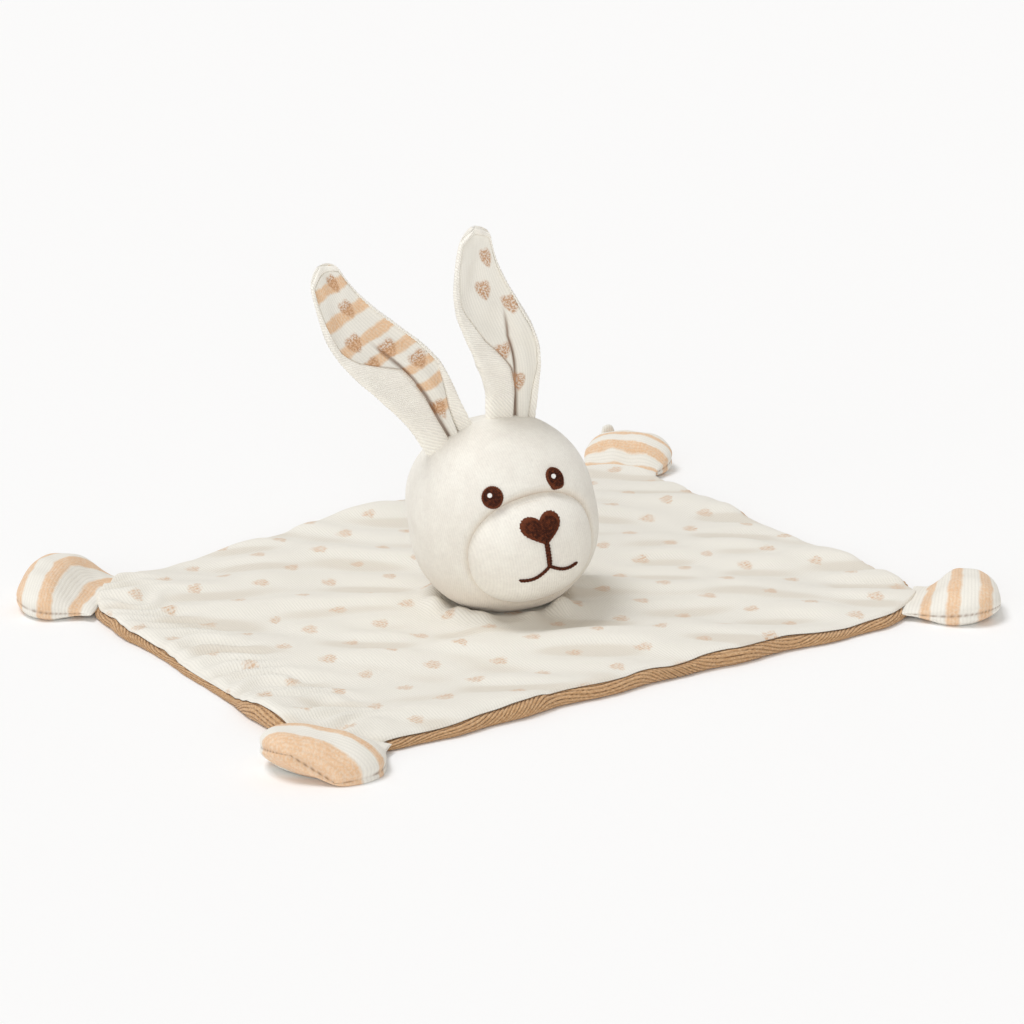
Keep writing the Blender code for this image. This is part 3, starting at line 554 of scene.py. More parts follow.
def knitted(vector, stitches):
    """Height of jersey stitches, so many to the metre across and along: rounded columns, each crossed by
    slanting loops, with a little unevenness."""
    x, y = parts_of(vector)
    across = x * stitches[0]
    column = abs(maths("COSINE", across * math.pi))
    slant = abs(maths("FRACT", across) - 0.5)
    loops = sine((y * stitches[1] + slant) * FULL_TURN) * 0.2 + 0.8
    uneven = noise(vector, 1500.0) * 0.5 + 0.5
    return column * loops * uneven


def velour_pile(vector, ribs):
    """Height of velour's fine pile over faint knit ribs, and the soft patches that it is brushed into."""
    ribbing = sine(parts_of(vector)[0] * (FULL_TURN * VELOUR_RIBS))
    stretched = add_node(vector.tree, "ShaderNodeMapping", {"Vector": vector, "Scale": (1.0, 0.18, 1.0)})
    pile = noise(vector, 2200.0, 3.0, 0.65)
    tufts = noise(vector, 700.0)
    height = pile + tufts * 0.8 + (ribbing + noise(stretched, 800.0)) * ribs
    return height, spread(noise(vector, 110.0, 5.0, 0.7), 0.36, 0.64)


def heart_print(vector):
    """Cover of small hearts on a slanting lattice, soft at the rim and speckled like a print on knit."""
    first, second = SPOT_LATTICE
    area = first[0] * second[1] - first[1] * second[0]
    drift = vector_maths("SUBTRACT", noise(vector, 28.0, 1.0, output=1), (0.5, 0.5, 0.5))
    place = vector_maths("ADD", vector, vector_maths("MULTIPLY", drift, (SPOT_DRIFT, SPOT_DRIFT, 0.0)))
    shares = []
    for reciprocal in ((second[1] / area, -second[0] / area, 0.0), (-first[1] / area, first[0] / area, 0.0)):
        share = vector_maths("DOT_PRODUCT", place, reciprocal, 1)
        shares.append(share - maths("ROUND", share))
    x, y = (shares[0] * first[axis] + shares[1] * second[axis] for axis in range(2))
    across = abs(x) / SPOT_SIZE
    reach = across**2.0 + (y / SPOT_SIZE - across * 0.40) ** 2.0
    ragged = noise(vector, 600.0, 3.0, 0.7) * 3.0 + reach
    speckle = spread(noise(vector, 1000.0), 0.36, 0.60)
    rows = abs(sine(parts_of(vector)[1] * (math.pi * 750.0)))
    return (1.0 - spread(ragged, 1.75, 2.95)) * (speckle * rows * 0.75 + 0.25)


def cloth_material(name, colour, roughness, sheen, bump, depth, specular=0.25):
    """A cloth's own material: gives each point's place on the cloth, and a function that links the colour
    and the height of the cloth's relief."""
    material = bpy.data.materials.new(name)
    material.use_nodes = True
    tree = material.node_tree
    shader = tree.nodes["Principled BSDF"]
    shader.inputs["Base Color"].default_value = colour
    shader.inputs["Roughness"].default_value = roughness
    shader.inputs["Specular IOR Level"].default_value = specular
    shader.inputs["Sheen Weight"].default_value = sheen
    shader.inputs["Sheen Roughness"].default_value = 0.6
    vector = add_node(tree, "ShaderNodeAttribute", {}, 1, attribute_name="cloth")

    def finish(colour, height):
        relief = add_node(tree, "ShaderNodeBump", {"Strength": bump, "Distance": depth, "Height": height})
        tree.links.new(relief.socket, shader.inputs["Normal"])
        tree.links.new(colour.socket, shader.inputs["Base Color"])
        return material

    return vector, finish


def speckled_print(vector, colour):
    """Darker tan specks over a colour, where the piece's points carry the print."""
    speckle = spread(noise(vector, 1300.0, 1.0, 0.6), 0.40, 0.58) * 0.65 + 0.30
    return mixed(kept_on_points(vector, "print") * speckle, colour, PRINT_BROWN)


def printed_jersey(name, shade_colour, spots=True, on_ear=False):
    """Cream jersey with painted shade in its creases, where the points carry it, and hearts on a lattice or,
    on an ear, where the points carry them."""
    vector, finish = cloth_material(name, CREAM, 0.9, 0.15, 0.25 if on_ear else 0.5, JERSEY_RELIEF)
    knit = knitted(vector, (900.0, 1200.0))
    # Painted shade: the crease field darkens the jersey towards the shade colour
    colour = mixed(spread(kept_on_points(vector, "crease"), 0.0, 1.0), CREAM, shade_colour)
    if on_ear:
        colour = speckled_print(vector, colour)
    elif spots:
        colour = mixed(heart_print(vector), colour, mixed(noise(vector, 300.0), SPOT_TAN, SPOT_TAN_DEEP))
    # Painted shade where the knit is low
    return finish(shaded(colour, knit * 0.12 + 0.93), knit)


def striped_jersey(name, slant, bands, reach, on_ear=False):
    """Cream jersey with tan bands across, whose edges waver with the knit; on an ear, hearts are printed
    over them."""
    vector, finish = cloth_material(name, CREAM, 0.9, 0.15, 0.32, JERSEY_RELIEF)
    knit = knitted(vector, (800.0, 1000.0))
    x, y = parts_of(vector)
    along = x * slant + y if on_ear else y * slant + x
    waver = noise(vector, 120.0, 3.0, 0.6) * (4.0 * STRIPE_WAVER) + along
    share = (waver - 2.0 * STRIPE_WAVER) / reach
    ramp = share.tree.nodes.new("ShaderNodeValToRGB")
    share.tree.links.new(share.socket, ramp.inputs[0])
    stops = ramp.color_ramp.elements
    stops[0].position, stops[1].position = 0.0, 1.0
    stops[0].color = stops[1].color = (0.0, 0.0, 0.0, 1.0)
    for start, end in bands:
        marks = [(start - STRIPE_BLUR, 0.0), (start + STRIPE_BLUR, 1.0)]
        if end < reach:
            marks += [(end - STRIPE_BLUR, 1.0), (end + STRIPE_BLUR, 0.0)]
        for mark, level in marks:
            stop = stops.new(min(max(mark / reach, 0.001), 0.999))
            stop.color = (level, level, level, 1.0)
        if end >= reach:
            stops[len(stops) - 1].color = (1.0, 1.0, 1.0, 1.0)
    speckle = spread(noise(vector, 1100.0), 0.32, 0.62)
    tan = mixed(noise(vector, 220.0), STRIPE_TAN, STRIPE_TAN_DEEP)
    colour = mixed(Value(ramp.outputs[0]) * (speckle * 0.3 + 0.7), CREAM, tan)
    if on_ear:
        colour = speckled_print(vector, colour)
    # Painted shade: the crease field darkens the jersey to brown along the paws' seams and the left lining's
    # folds
    colour = mixed(kept_on_points(vector, "crease"), colour, SHADE_BROWN)
    # Painted shade where the knit is low
    return finish(shaded(colour, knit * 0.12 + 0.93), knit)


def velour_material(name, ribs, bump, lighter=0.0):
    """Off-white velour, with painted shade in a warmer beige where the points carry it, and the light
    catching its pile.
    """
    vector, finish = cloth_material(name, VELOUR, 0.95, 0.35, bump, PILE_RELIEF)
    pile, patches = velour_pile(vector, ribs)
    # Painted shade: the crease field turns the velour towards a warmer beige
    colour = mixed(kept_on_points(vector, "crease"), mixed(patches, VELOUR, VELOUR_SHADE), VELOUR_PAINTED_SHADE)
    # Painted shade where the pile is low; lighter lifts the whole colour, painted light on the muzzle's and
    # ears' copies
    return finish(shaded(colour, pile * 0.16 + (0.84 + lighter)), pile)


def tan_velour_material():
    """Ribbed velour of the blanket's underside: light ridges of twisted pile, and dark brown painted shade in
    the gaps, where the points carry it.
    """
    vector, finish = cloth_material("Ribbed tan velour", TAN, 0.95, 0.2, 0.45, PILE_RELIEF)
    tufts = noise(vector, 900.0, 3.0, 0.6)
    x, y = parts_of(vector)
    strands = sine(x * 3600.0 + y * 5200.0) * 0.4 + tufts
    light = mixed(spread(tufts, 0.35, 0.7), TAN, TAN_LIGHT)
    return finish(mixed(kept_on_points(vector, "crease"), light, TAN_GAP_SHADE), strands)


def thread_material(name, colour, rim):
    """Satin stitch: close dull threads that fray a little, with painted highlights: lighter on their crests
    and along the patch's rim."""
    vector, finish = cloth_material(name, colour, 0.6, 0.0, 0.6, THREAD_RELIEF, specular=0.12)
    x, y = parts_of(vector)
    threads = sine((y * 0.8 + x) * (FULL_TURN * 1300.0))
    relief = threads * 0.12 + noise(vector, 1500.0, 2.0, 0.6)
    # Painted highlights: lighter on the threads' crests, and where the crease field marks the patch's rim or
    # each stitch
    lit = mixed(spread(relief, 0.46, 0.72), colour, rim)
    return finish(mixed(kept_on_points(vector, "crease") * 0.5, lit, rim), relief)


CREAM = srgb(241, 237, 227)
CREAM_SHADE = srgb(222, 212, 196)
SPOT_TAN = srgb(228, 198, 169)
SPOT_TAN_DEEP = srgb(209, 169, 132)
STRIPE_TAN = srgb(240, 206, 170)
STRIPE_TAN_DEEP = srgb(227, 184, 142)
# Brown of the painted shade along seams and folds
SHADE_BROWN = srgb(120, 78, 46)
PRINT_BROWN = srgb(196, 148, 108)
VELOUR = srgb(243, 239, 229)
VELOUR_SHADE = srgb(238, 233, 223)
# Beige of the velours' painted shade
VELOUR_PAINTED_SHADE = srgb(206, 186, 164)
TAN = srgb(198, 154, 108)
TAN_LIGHT = srgb(224, 186, 142)
TAN_GAP_SHADE = srgb(112, 72, 40)
BROWN = srgb(48, 20, 11)
# Lighter colours of the threads' painted highlights
BROWN_HIGHLIGHT = srgb(116, 58, 32)
WHITE = srgb(245, 243, 238)
WHITE_HIGHLIGHT = srgb(255, 255, 252)


# Blanket pieces


def plan(along, across, inset):
    """Where a share along and across the blanket lies: spread between its corners, sides drawn in by a
    parabola."""
    place = []
    for axis in range(2):
        front = FRONT_LEFT[axis] + (FRONT_RIGHT[axis] - FRONT_LEFT[axis]) * (1.0 + along) / 2
        rear = REAR_LEFT[axis] + (REAR_RIGHT[axis] - REAR_LEFT[axis]) * (1.0 + along) / 2
        place.append(front + (rear - front) * (1.0 + across) / 2)
    draw_in = np.where(across > 0.0, REAR_DRAW_IN, FRONT_DRAW_IN)
    x = place[0] - along * (inset + END_DRAW_IN * (1.0 - across**2))
    y = place[1] - across * (inset + draw_in * (1.0 - along**2))
    wave = SIDE_WAVE * (np.sin(place[0] * 120.0 + 1.0) + np.sin(place[0] * 190.0 + place[1] * 130.0))
    return tucked(x + along * wave, y - across * wave)


def seam_middle(corner):
    """The middle of the cut across a corner, where its paw is sewn on."""
    return tuple(value - math.copysign(CORNER_CUT / 2, value) for value in corner)


def tucked(x, y):
    """The corners, gathered into the seams that carry the paws: nothing passes a seam, and the sides close
    in."""
    for corner, heading, *_ in PAWS.values():
        centre_x, centre_y = seam_middle(corner)
        cosine, sine = math.cos(heading), math.sin(heading)
        out = (x - centre_x) * cosine + (y - centre_y) * sine
        beside = (y - centre_y) * cosine - (x - centre_x) * sine
        past = np.clip(out + CORNER_TUCK, 0.0, None)
        beside = beside * (1.0 - CORNER_GATHER * smoothstep((out + 2.5 * CORNER_TUCK) / (3.5 * CORNER_TUCK)))
        out = np.where(past > 0.0, -CORNER_TUCK * np.exp(-past / CORNER_TUCK), out)
        x = centre_x + out * cosine - beside * sine
        y = centre_y + out * sine + beside * cosine
    return x, y


def waves(x, y):
    """The cream cloth's ripples, uneven from place to place: above zero on a crest."""
    return ripples(x, y) + 0.25 * swells(x, y)


def blanket_height(x, y):
    """Upper side of the cream cloth: broad folds, the wave and dip behind, lifted edges, rounded ripples,
    pleats at the left end, and a flat seat with a low ring of gathered cloth under the head."""
    towards = x * math.sin(FOLD_HEADING) - y * math.cos(FOLD_HEADING)
    beside = x * math.cos(FOLD_HEADING) + y * math.sin(FOLD_HEADING)
    phase = FULL_TURN * towards / FOLD_PITCH + np.sin(beside / FOLD_SWAY)
    height = TOP_HEIGHT + FOLD_HEIGHT * np.sin(phase)
    rear = y - REAR_EDGE
    height += HUMP[0] * bell(x / HUMP[1], rear / HUMP[2])
    height -= DIP[0] * bell((x - DIP[1]) / DIP[2], rear / DIP[2])
    for lift, centre_x, centre_y, radius in EDGE_LIFTS:
        height += lift * bell((x - centre_x) / radius, (y - centre_y) / radius)
    crest = np.tanh(0.8 * waves(x, y))
    puffed = np.sqrt(crest**2 + 0.06) - 0.60
    near_edge = np.maximum(smoothstep((-x - 0.118) / 0.018), 0.8 * smoothstep((-y - 0.090) / 0.016))
    strength = (0.70 + 0.30 * np.tanh(swells(y, x))) * (1.0 - 0.6 * near_edge)
    height += RIPPLE_HEIGHT * strength * (0.45 * puffed + 0.75 * crest)
    pleats = np.sin(FULL_TURN * (y + 0.45 * x) / PLEAT_PITCH + 1.4 * lumps(x, y))
    height += PLEAT_HEIGHT * bell((x + PLEAT_PLACE) / PLEAT_REACH) * pleats
    radius = np.hypot(x - HEAD_PLACE[0], y - HEAD_PLACE[1])
    loose = smoothstep((radius - SEAT_RADIUS) / SEAT_FADE)
    ring_height, ring_radius, ring_width = FOOT_RING
    hugging = ring_height * (1.0 + 0.45 * lumps(x * 2.0, y * 2.0)) * bell((radius - ring_radius) / ring_width)
    return SEAT_HEIGHT + (height - SEAT_HEIGHT) * loose + hugging


def rim_roll(along, across):
    """How far the cream cloth bends down towards its edge."""
    x, y = plan(along, across, 0.0)
    reach = np.minimum((1.0 - np.abs(along)) * 0.146, (1.0 - np.abs(across)) * 0.112)
    roll = CLOTH_ROLL + 0.0012 * bell((x + 0.140) / 0.02, (y + 0.010) / 0.05)
    return roll * (1.0 - np.clip(reach / CLOTH_ROLL_WIDTH, 0.0, 1.0)) ** 2


def make_cloth():
    """The cream jersey: one closed sheet between its upper side and the same side lowered by its
    thickness."""
    along, across = level_grid(*(crowded(count, CLOTH_CROWDING) for count in CLOTH_GRID))
    x, y = plan(along, across, CLOTH_INSET)
    height = np.maximum(blanket_height(x, y) - rim_roll(along, across), CLOTH + 0.0012)
    inner = np.clip(np.minimum(1.0 - np.abs(along), 1.0 - np.abs(across)) * CLOTH_RIM_SHARES, 0.0, 1.0)
    upper = stacked(x, y, height - CLOTH / 2 * (1.0 - inner)) + PLACE
    lower = stacked(x, y, height - CLOTH + CLOTH / 2 * (1.0 - inner)) + PLACE
    # Painted shade in the ripples' valleys
    crease = smoothstep(-waves(x, y) * 0.7) * 0.55
    cloth = stacked(x, y, np.zeros_like(x))
    fields = {"cloth": (cloth, cloth), "crease": (crease, crease)}
    piece = pillow("blanket_cloth", upper, lower, fields, printed_jersey("Printed jersey", CREAM_SHADE))
    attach(piece, "blanket")
    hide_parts("blanket_top")
    return piece


def distances(x, y):
    """How far along a line each of its points lies."""
    return np.concatenate([[0.0], np.cumsum(np.hypot(np.diff(x), np.diff(y)))])


def rim_path(count):
    """Shares along and across at even steps round the blanket's edge, and its length."""

    def shares(turn):
        return np.interp(turn, range(5), [-1, 1, 1, -1, -1]), np.interp(turn, range(5), [-1, -1, 1, 1, -1])

    turn = np.linspace(0.0, 4.0, 16001)
    walked = distances(*plan(*shares(turn), 0.0))
    along, across = shares(np.interp(np.linspace(0.0, walked[-1], count, endpoint=False), walked, turn))
    return along, across, walked[-1]


def make_underside():
    """The tan velour: a plate under the cloth, and round it a roll with ridges whose slant changes along
    it."""
    along, across, length = rim_path(ROLL_POINTS)
    x, y = plan(along, across, 0.0)
    walked = np.arange(ROLL_POINTS) * length / ROLL_POINTS
    tangent = stacked(np.roll(x, -3) - np.roll(x, 3), np.roll(y, -3) - np.roll(y, 3))
    kernel = np.ones(25) / 25.0
    for axis in range(2):
        tangent[:, axis] = np.convolve(np.pad(tangent[:, axis], 12, mode="wrap"), kernel, mode="valid")
    tangent /= np.linalg.norm(tangent, axis=1, keepdims=True)
    out_x, out_y = tangent[:, 1], -tangent[:, 0]
    top = np.maximum(blanket_height(x, y) - rim_roll(along, across) - CLOTH - 0.0001, 0.0013)
    outer_turn = np.linspace(-ROLL_OUTER_TURN, ROLL_OUTER_TURN, ROLL_OUTER_SIDES, endpoint=False)
    inner_turn = np.linspace(ROLL_OUTER_TURN, FULL_TURN - ROLL_OUTER_TURN, ROLL_INNER_SIDES, endpoint=False)
    angle = np.concatenate([outer_turn, inner_turn])
    turn, sides = level_grid(walked, angle)
    slant = sum(size * np.sin(FULL_TURN * turn / long + start) for size, long, start in ROLL_SLANTS)
    phase = ROLL_RIDGES * (sides + math.pi / 2) / math.pi + slant
    inside = 2.0 * (phase - np.floor(phase)) - 1.0
    ridge = np.sqrt(np.clip(1.0 - inside**2, 0.0, 1.0))
    outer = smoothstep((np.cos(sides) + 0.15) / 0.5)
    lump = sum(size * np.sin(walked * number + start) for size, number, start in ROLL_LUMP_WAVES)
    half_width = ROLL_HALF_WIDTH + ROLL_LUMPS * lump[:, None] / 2.6
    relief = ROLL_RIDGE_HEIGHT * (ridge - 0.8) * outer
    cosine, rising = np.cos(sides), np.sin(sides)
    squared = np.abs(cosine) ** ROLL_SQUARENESS + np.abs(rising) ** ROLL_SQUARENESS
    squared = squared ** (-1.0 / ROLL_SQUARENESS)
    outwards = squared * cosine * (half_width + relief) - ROLL_INSET
    height = top[:, None] / 2 * (1.0 + squared * rising) + relief * rising
    roll_x = x[:, None] + out_x[:, None] * outwards
    roll_y = y[:, None] + out_y[:, None] * outwards
    points = stacked(roll_x, roll_y, np.maximum(height, 0.0)) + PLACE
    # Painted shade in the gaps between the roll's ridges
    gap_shade = np.clip(1.25 - ridge * 1.45, 0.0, 1.0) * outer
    cloth = stacked(turn, sides * 0.0026, inside * 0.001)
    roll = looped("blanket_edge_roll", points, {"cloth": cloth, "crease": gap_shade}, tan_velour)
    along, across = level_grid(*(np.linspace(-1.0, 1.0, count) for count in UNDERSIDE_GRID))
    x, y = plan(along, across, UNDERSIDE_INSET)
    height = np.maximum(blanket_height(x, y) - rim_roll(along, across) - CLOTH - 0.0002, 0.0012)
    cloth = stacked(x, y, np.zeros_like(x))
    upper = stacked(x, y, height) + PLACE
    lower = cloth + PLACE
    upper[[0, -1], :, 2] = upper[:, [0, -1], 2] = UNDERSIDE_RIM
    # Painted shade of rib grooves: dark stripes on the flat underside plate
    ribs = np.clip(np.cos(FULL_TURN * (x * 0.8 + y * 0.6) / UNDERSIDE_RIBS), 0.0, 1.0)
    fields = {"cloth": (cloth, cloth), "crease": (ribs, ribs)}
    piece = pillow("blanket_underside", upper, lower, fields, tan_velour)
    for part in (roll, piece):
        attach(part, "blanket")
        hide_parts("blanket_backing")
    return piece, roll


# Paw pieces


def paw_points(side, bend, tilt, width, upper_share):
    """One side of a paw in its hinge's frame: a bean that swells from its seam surface, closed at sides and
    tip, with the seam drawn in a little between two fuller halves. Gives its points, its cloth and its
    painted seam shadow, dark dashes along the seam."""
    rows, columns = PAW_GRID
    turn, lean = level_grid(np.linspace(0.0, math.pi, rows), np.linspace(-math.pi / 2, math.pi / 2, columns))
    back = PAW_ROOT_RADIUS + PAW_BACK
    x = (PAW_LENGTH - back) / 2 - (PAW_LENGTH + back) / 2 * np.cos(turn)
    across = np.sin(lean)
    rise = smoothstep(x / PAW_PEAK)
    past = np.clip((x - PAW_PEAK) / (PAW_LENGTH - PAW_PEAK), 0.0, 1.0)
    fall = np.sqrt(1.0 - (1.0 - PAW_TIP_SHARE**2) * past**2)
    half = (width / 2) * np.where(x < PAW_PEAK, PAW_ROOT_SHARE + (1.0 - PAW_ROOT_SHARE) * rise, fall)
    beside = math.pi / 2 - np.abs(lean)
    pinch = bell(beside / 0.17)
    y = across * (half - 0.0010 * pinch * smoothstep((x + back) / 0.006))
    along_share = np.clip(x / PAW_LENGTH, 0.0, 1.0)
    seam = PAW_SEAM_RISE * smoothstep(along_share) + tilt * across * along_share
    swell = PAW_SWELLS["upper"] * upper_share if side > 0.0 else PAW_SWELLS["lower"]
    behind = np.clip(-x / back, 0.0, 1.0)
    neck = PAW_ROOT_RADIUS * np.sqrt(1.0 - behind**2) * np.sqrt(1.0 - along_share**8)
    bulge = (swell - PAW_ROOT_RADIUS) * np.where(x < PAW_PEAK, rise, np.sqrt(1.0 - past**2))
    profile = np.sqrt(np.clip(1.0 - np.abs(across) ** PAW_BLUNTNESS, 0.0, 1.0))
    pucker = 1.0 + 0.05 * np.sin(x * 900.0 + 3.0 * across) * bell(beside / 0.35)
    z = seam + side * (neck + bulge) * profile * pucker
    z = z + 0.0004 * lumps(x * 2.0 + width * 7.0, y * 2.0) * profile
    z = np.maximum(z, -PAW_HINGE_HEIGHT)
    angle = bend * along_share
    radius = PAW_LENGTH / bend
    drawn = 0.0009 * bell((math.pi - turn) / 0.17)
    centre_x = np.where(x < 0.0, x, 0.0) + radius * np.sin(angle) - drawn
    centre_y = radius * (1.0 - np.cos(angle))
    points = stacked(centre_x - y * np.sin(angle), centre_y + y * np.cos(angle), z)
    edge = np.minimum(beside, math.pi - turn)
    # Painted seam shadow: dark brown dashes along the seam
    stitch = bell(edge / 0.05) * (0.6 + 0.4 * np.sin(x * 2600.0 + y * 2600.0))
    stitch *= smoothstep((x + 0.001) / 0.002)
    return points, stacked(x, y, z), stitch * 0.75


def upright_axes(heading):
    """Axes turned by a heading about the upright one."""
    cosine, sine = math.cos(heading), math.sin(heading)
    return np.array([[cosine, sine, 0.0], [-sine, cosine, 0.0], [0.0, 0.0, 1.0]])


def make_paw(name, corner, heading, bend, tilt, width_share, upper_share):
    """A paw from its corner's seam, both sides in one closed skin. Gives its hinge's middle and axes."""
    width = PAW_WIDTH * width_share
    centre = np.array([*seam_middle(corner), PAW_HINGE_HEIGHT]) + PLACE
    axes = upright_axes(heading)
    upper, upper_cloth, upper_seam_shade = paw_points(1.0, bend, tilt, width, upper_share)
    lower, lower_cloth, lower_seam_shade = paw_points(-1.0, bend, tilt, width, upper_share)
    join_rims(upper, lower, (upper + lower) / 2)
    slant, bow, bands = PAW_BANDS[name]
    for cloth in (upper_cloth, lower_cloth):
        cloth[..., 0] += bow * np.clip(-cloth[..., 1], 0.0, None) ** 2
    material = striped_jersey(f"Striped jersey {name.replace('_', ' ')}", slant, bands, PAW_BAND_REACH)
    fields = {"cloth": (upper_cloth, lower_cloth), "crease": (upper_seam_shade, lower_seam_shade)}
    piece = pillow(f"paw_{name}_cover", upper @ axes + centre, lower @ axes + centre, fields, material)
    body = f"paw_{name}"
    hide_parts(f"{body}_upper_panel", f"{body}_lower_panel", f"{body}_filling")
    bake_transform(piece)
    return centre, axes


def make_tab(centre, axes):
    """A small loose fold of the cream cloth behind the rear right paw."""
    up, across = level_grid(np.linspace(0.0, 1.0, 15), np.linspace(-1.0, 1.0, 13))
    x = across * TAB_WIDTH * (1.0 - 0.35 * up**3)
    y = 0.0010 * up**2 + 0.0006 * across**2
    z = up * TAB_HEIGHT - 0.0010 * across**2 * up**4
    near = stacked(x, y, z)
    far = stacked(x, y + TAB_CLOTH, z)
    join_rims(near, far, (near + far) / 2)
    cloth = near.copy()
    crease = np.zeros_like(x)
    fields = {"cloth": (cloth, cloth), "crease": (crease, crease)}
    material = printed_jersey("Plain jersey", CREAM_SHADE, spots=False)
    near, far = ((grid @ upright_axes(TAB_TURN) + TAB_PLACE) @ axes + centre for grid in (near, far))
    piece = pillow("corner_tab", near, far, fields, material)
    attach(piece, "paw_rear_right")
    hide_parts("paw_rear_right_tab")


# Head pieces


def head_reach(shares):
    """Distance from the head's centre to its skin, along unit directions as side, out and up shares: a
    squarish ball with fuller jowls and the soft unevenness of stuffing, drawn in at the muzzle's seam. Also
    how far it is drawn."""
    half = np.array(HEAD_SIZE) / 2
    jowl = 1.0 + JOWL_SHARE * np.clip(-shares[..., 2], 0.0, 1.0)
    width = stacked(jowl, np.ones_like(jowl), np.ones_like(jowl))
    reach = ((np.abs(shares) / (half * width)) ** HEAD_SQUARENESS).sum(axis=-1) ** (-1.0 / HEAD_SQUARENESS)
    uneven = lumps(shares[..., 0] * 0.038, shares[..., 2] * 0.038 + shares[..., 1] * 0.02)
    used = muzzle_used(shares[..., 0] * reach - MUZZLE_SHIFT, shares[..., 2] * reach + MUZZLE_DROP)
    out_of_seam = used ** (1.0 / MUZZLE_SQUARENESS) - 1.0
    drawn = bell((out_of_seam + 0.040) / 0.062) * smoothstep(shares[..., 1] * 3.0)
    return reach + 0.00022 * uneven - MUZZLE_SEAM_DEPTH * drawn, drawn


def make_head():
    """The head's velour: rings from crown to neck, flattened where it rests on the blanket."""
    directions, poles = round_grid(*HEAD_GRID)

    def skin(shares):
        reach, drawn = head_reach(shares)
        local = shares * reach[..., None]
        points = local @ HEAD_AXES
        behind = -(points @ FACE) - NECK_SETBACK
        floor = SEAT_HEIGHT - HEAD_HEIGHT + 0.0001 + np.clip(behind, 0.0, None) * NECK_SLOPE
        points[..., 2] = np.maximum(points[..., 2], floor)
        return local, points + HEAD_CENTRE, drawn

    local, points, drawn = skin(directions[..., [1, 0, 2]])
    pole_local, pole_points, _ = skin(poles)
    # Painted shade and painted bounce light from the cloth: darker and warmer low on the head and along the
    # muzzle's seam
    painted_shade = np.maximum(smoothstep((0.030 - points[..., 2]) / 0.024) * 0.55, drawn)
    round_side = np.arctan2(local[..., 0], local[..., 1]) * np.hypot(local[..., 0], local[..., 1])
    cloth = stacked(round_side, local[..., 2], local[..., 1])
    fields = {"cloth": (cloth, pole_local[:, [0, 2, 1]]), "crease": (painted_shade, np.array([0.0, 0.5]))}
    piece = capped("head_velour", points, pole_points, fields, velour_material("Cream velour", 0.14, 0.32))
    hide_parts("head_cover", "head_filling")
    blend_neck(piece)


def blend_neck(piece):
    """Bakes the piece's place into its points; the head's foot is sewn to the blanket."""
    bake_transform(piece)


def muzzle_used(side, up):
    """How much of the muzzle's half sizes a place beside its middle uses up: 1 at its outline."""
    shares = (np.abs(side) / MUZZLE_HALF[0], np.abs(up) / MUZZLE_HALF[1])
    return shares[0] ** MUZZLE_SQUARENESS + shares[1] ** MUZZLE_SQUARENESS


def make_muzzle():
    """The muzzle's velour: rings from its front to a rounded back, sunk in the head."""
    directions, poles = round_grid(*MUZZLE_GRID)

    def skin(shares):
        used = (np.abs(shares) / np.array(MUZZLE_HALF)) ** MUZZLE_SQUARENESS
        reach = used.sum(axis=-1) ** (-1.0 / MUZZLE_SQUARENESS)
        local = shares * reach[..., None]
        local[..., 2] *= np.where(local[..., 2] < 0.0, MUZZLE_BACK_SHARE, 1.0)
        local[..., 0] += MUZZLE_SHIFT
        points = local @ MUZZLE_AXES + MUZZLE_CENTRE
        points[..., 2] = np.maximum(points[..., 2], SEAT_HEIGHT + 0.002)
        return local, points

    local, points = skin(directions)
    pole_local, pole_points = skin(poles)
    # Painted shade: darker and warmer towards the muzzle's lower edge
    down = -local[..., 1] / MUZZLE_HALF[1]
    painted_shade = smoothstep((down - 0.55) / 0.5) * 0.4
    fields = {"cloth": (local, pole_local), "crease": (painted_shade, np.array([0.0, 0.0]))}
    # A lighter copy of the velour: painted light on the muzzle
    muzzle_velour = velour_material("Muzzle velour", 0.14, 0.32, 0.01)
    piece = capped("muzzle_velour", points, pole_points, fields, muzzle_velour)
    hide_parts("muzzle_cover", "muzzle_filling")
    blend_neck(piece)


def satin_patch(name, rim, surface, dome, sink, material, rings=18):
    """A raised patch of stitches: rings shrunk from its ragged rim to its middle, domed over the cloth
    under it, and closed below the cloth."""
    around = len(rim)
    share = np.concatenate([np.linspace(0.03, 1.0, rings), [0.97, 0.5]])[:, None, None]
    flat = rim[None] * share
    edge = share[..., 0].repeat(around, axis=1)
    raised = dome * (1.0 - edge**6) ** 0.5 + 0.00018 * bell((edge - 0.86) / 0.07)
    raised[-2:] = -sink
    raised[rings - 1] = -0.0001
    points = surface(flat[..., 0], flat[..., 1], raised)
    poles = surface(np.zeros(2), np.zeros(2), np.array([dome, -sink]))
    # Painted highlight along the patch's rim
    painted_rim_highlight = smoothstep((edge - 0.76) / 0.08)
    cloth = stacked(flat[..., 0], flat[..., 1], raised)
    fields = {"cloth": (cloth, np.zeros((2, 3))), "crease": (painted_rim_highlight, np.zeros(2))}
    return capped(name, points, poles, fields, material)


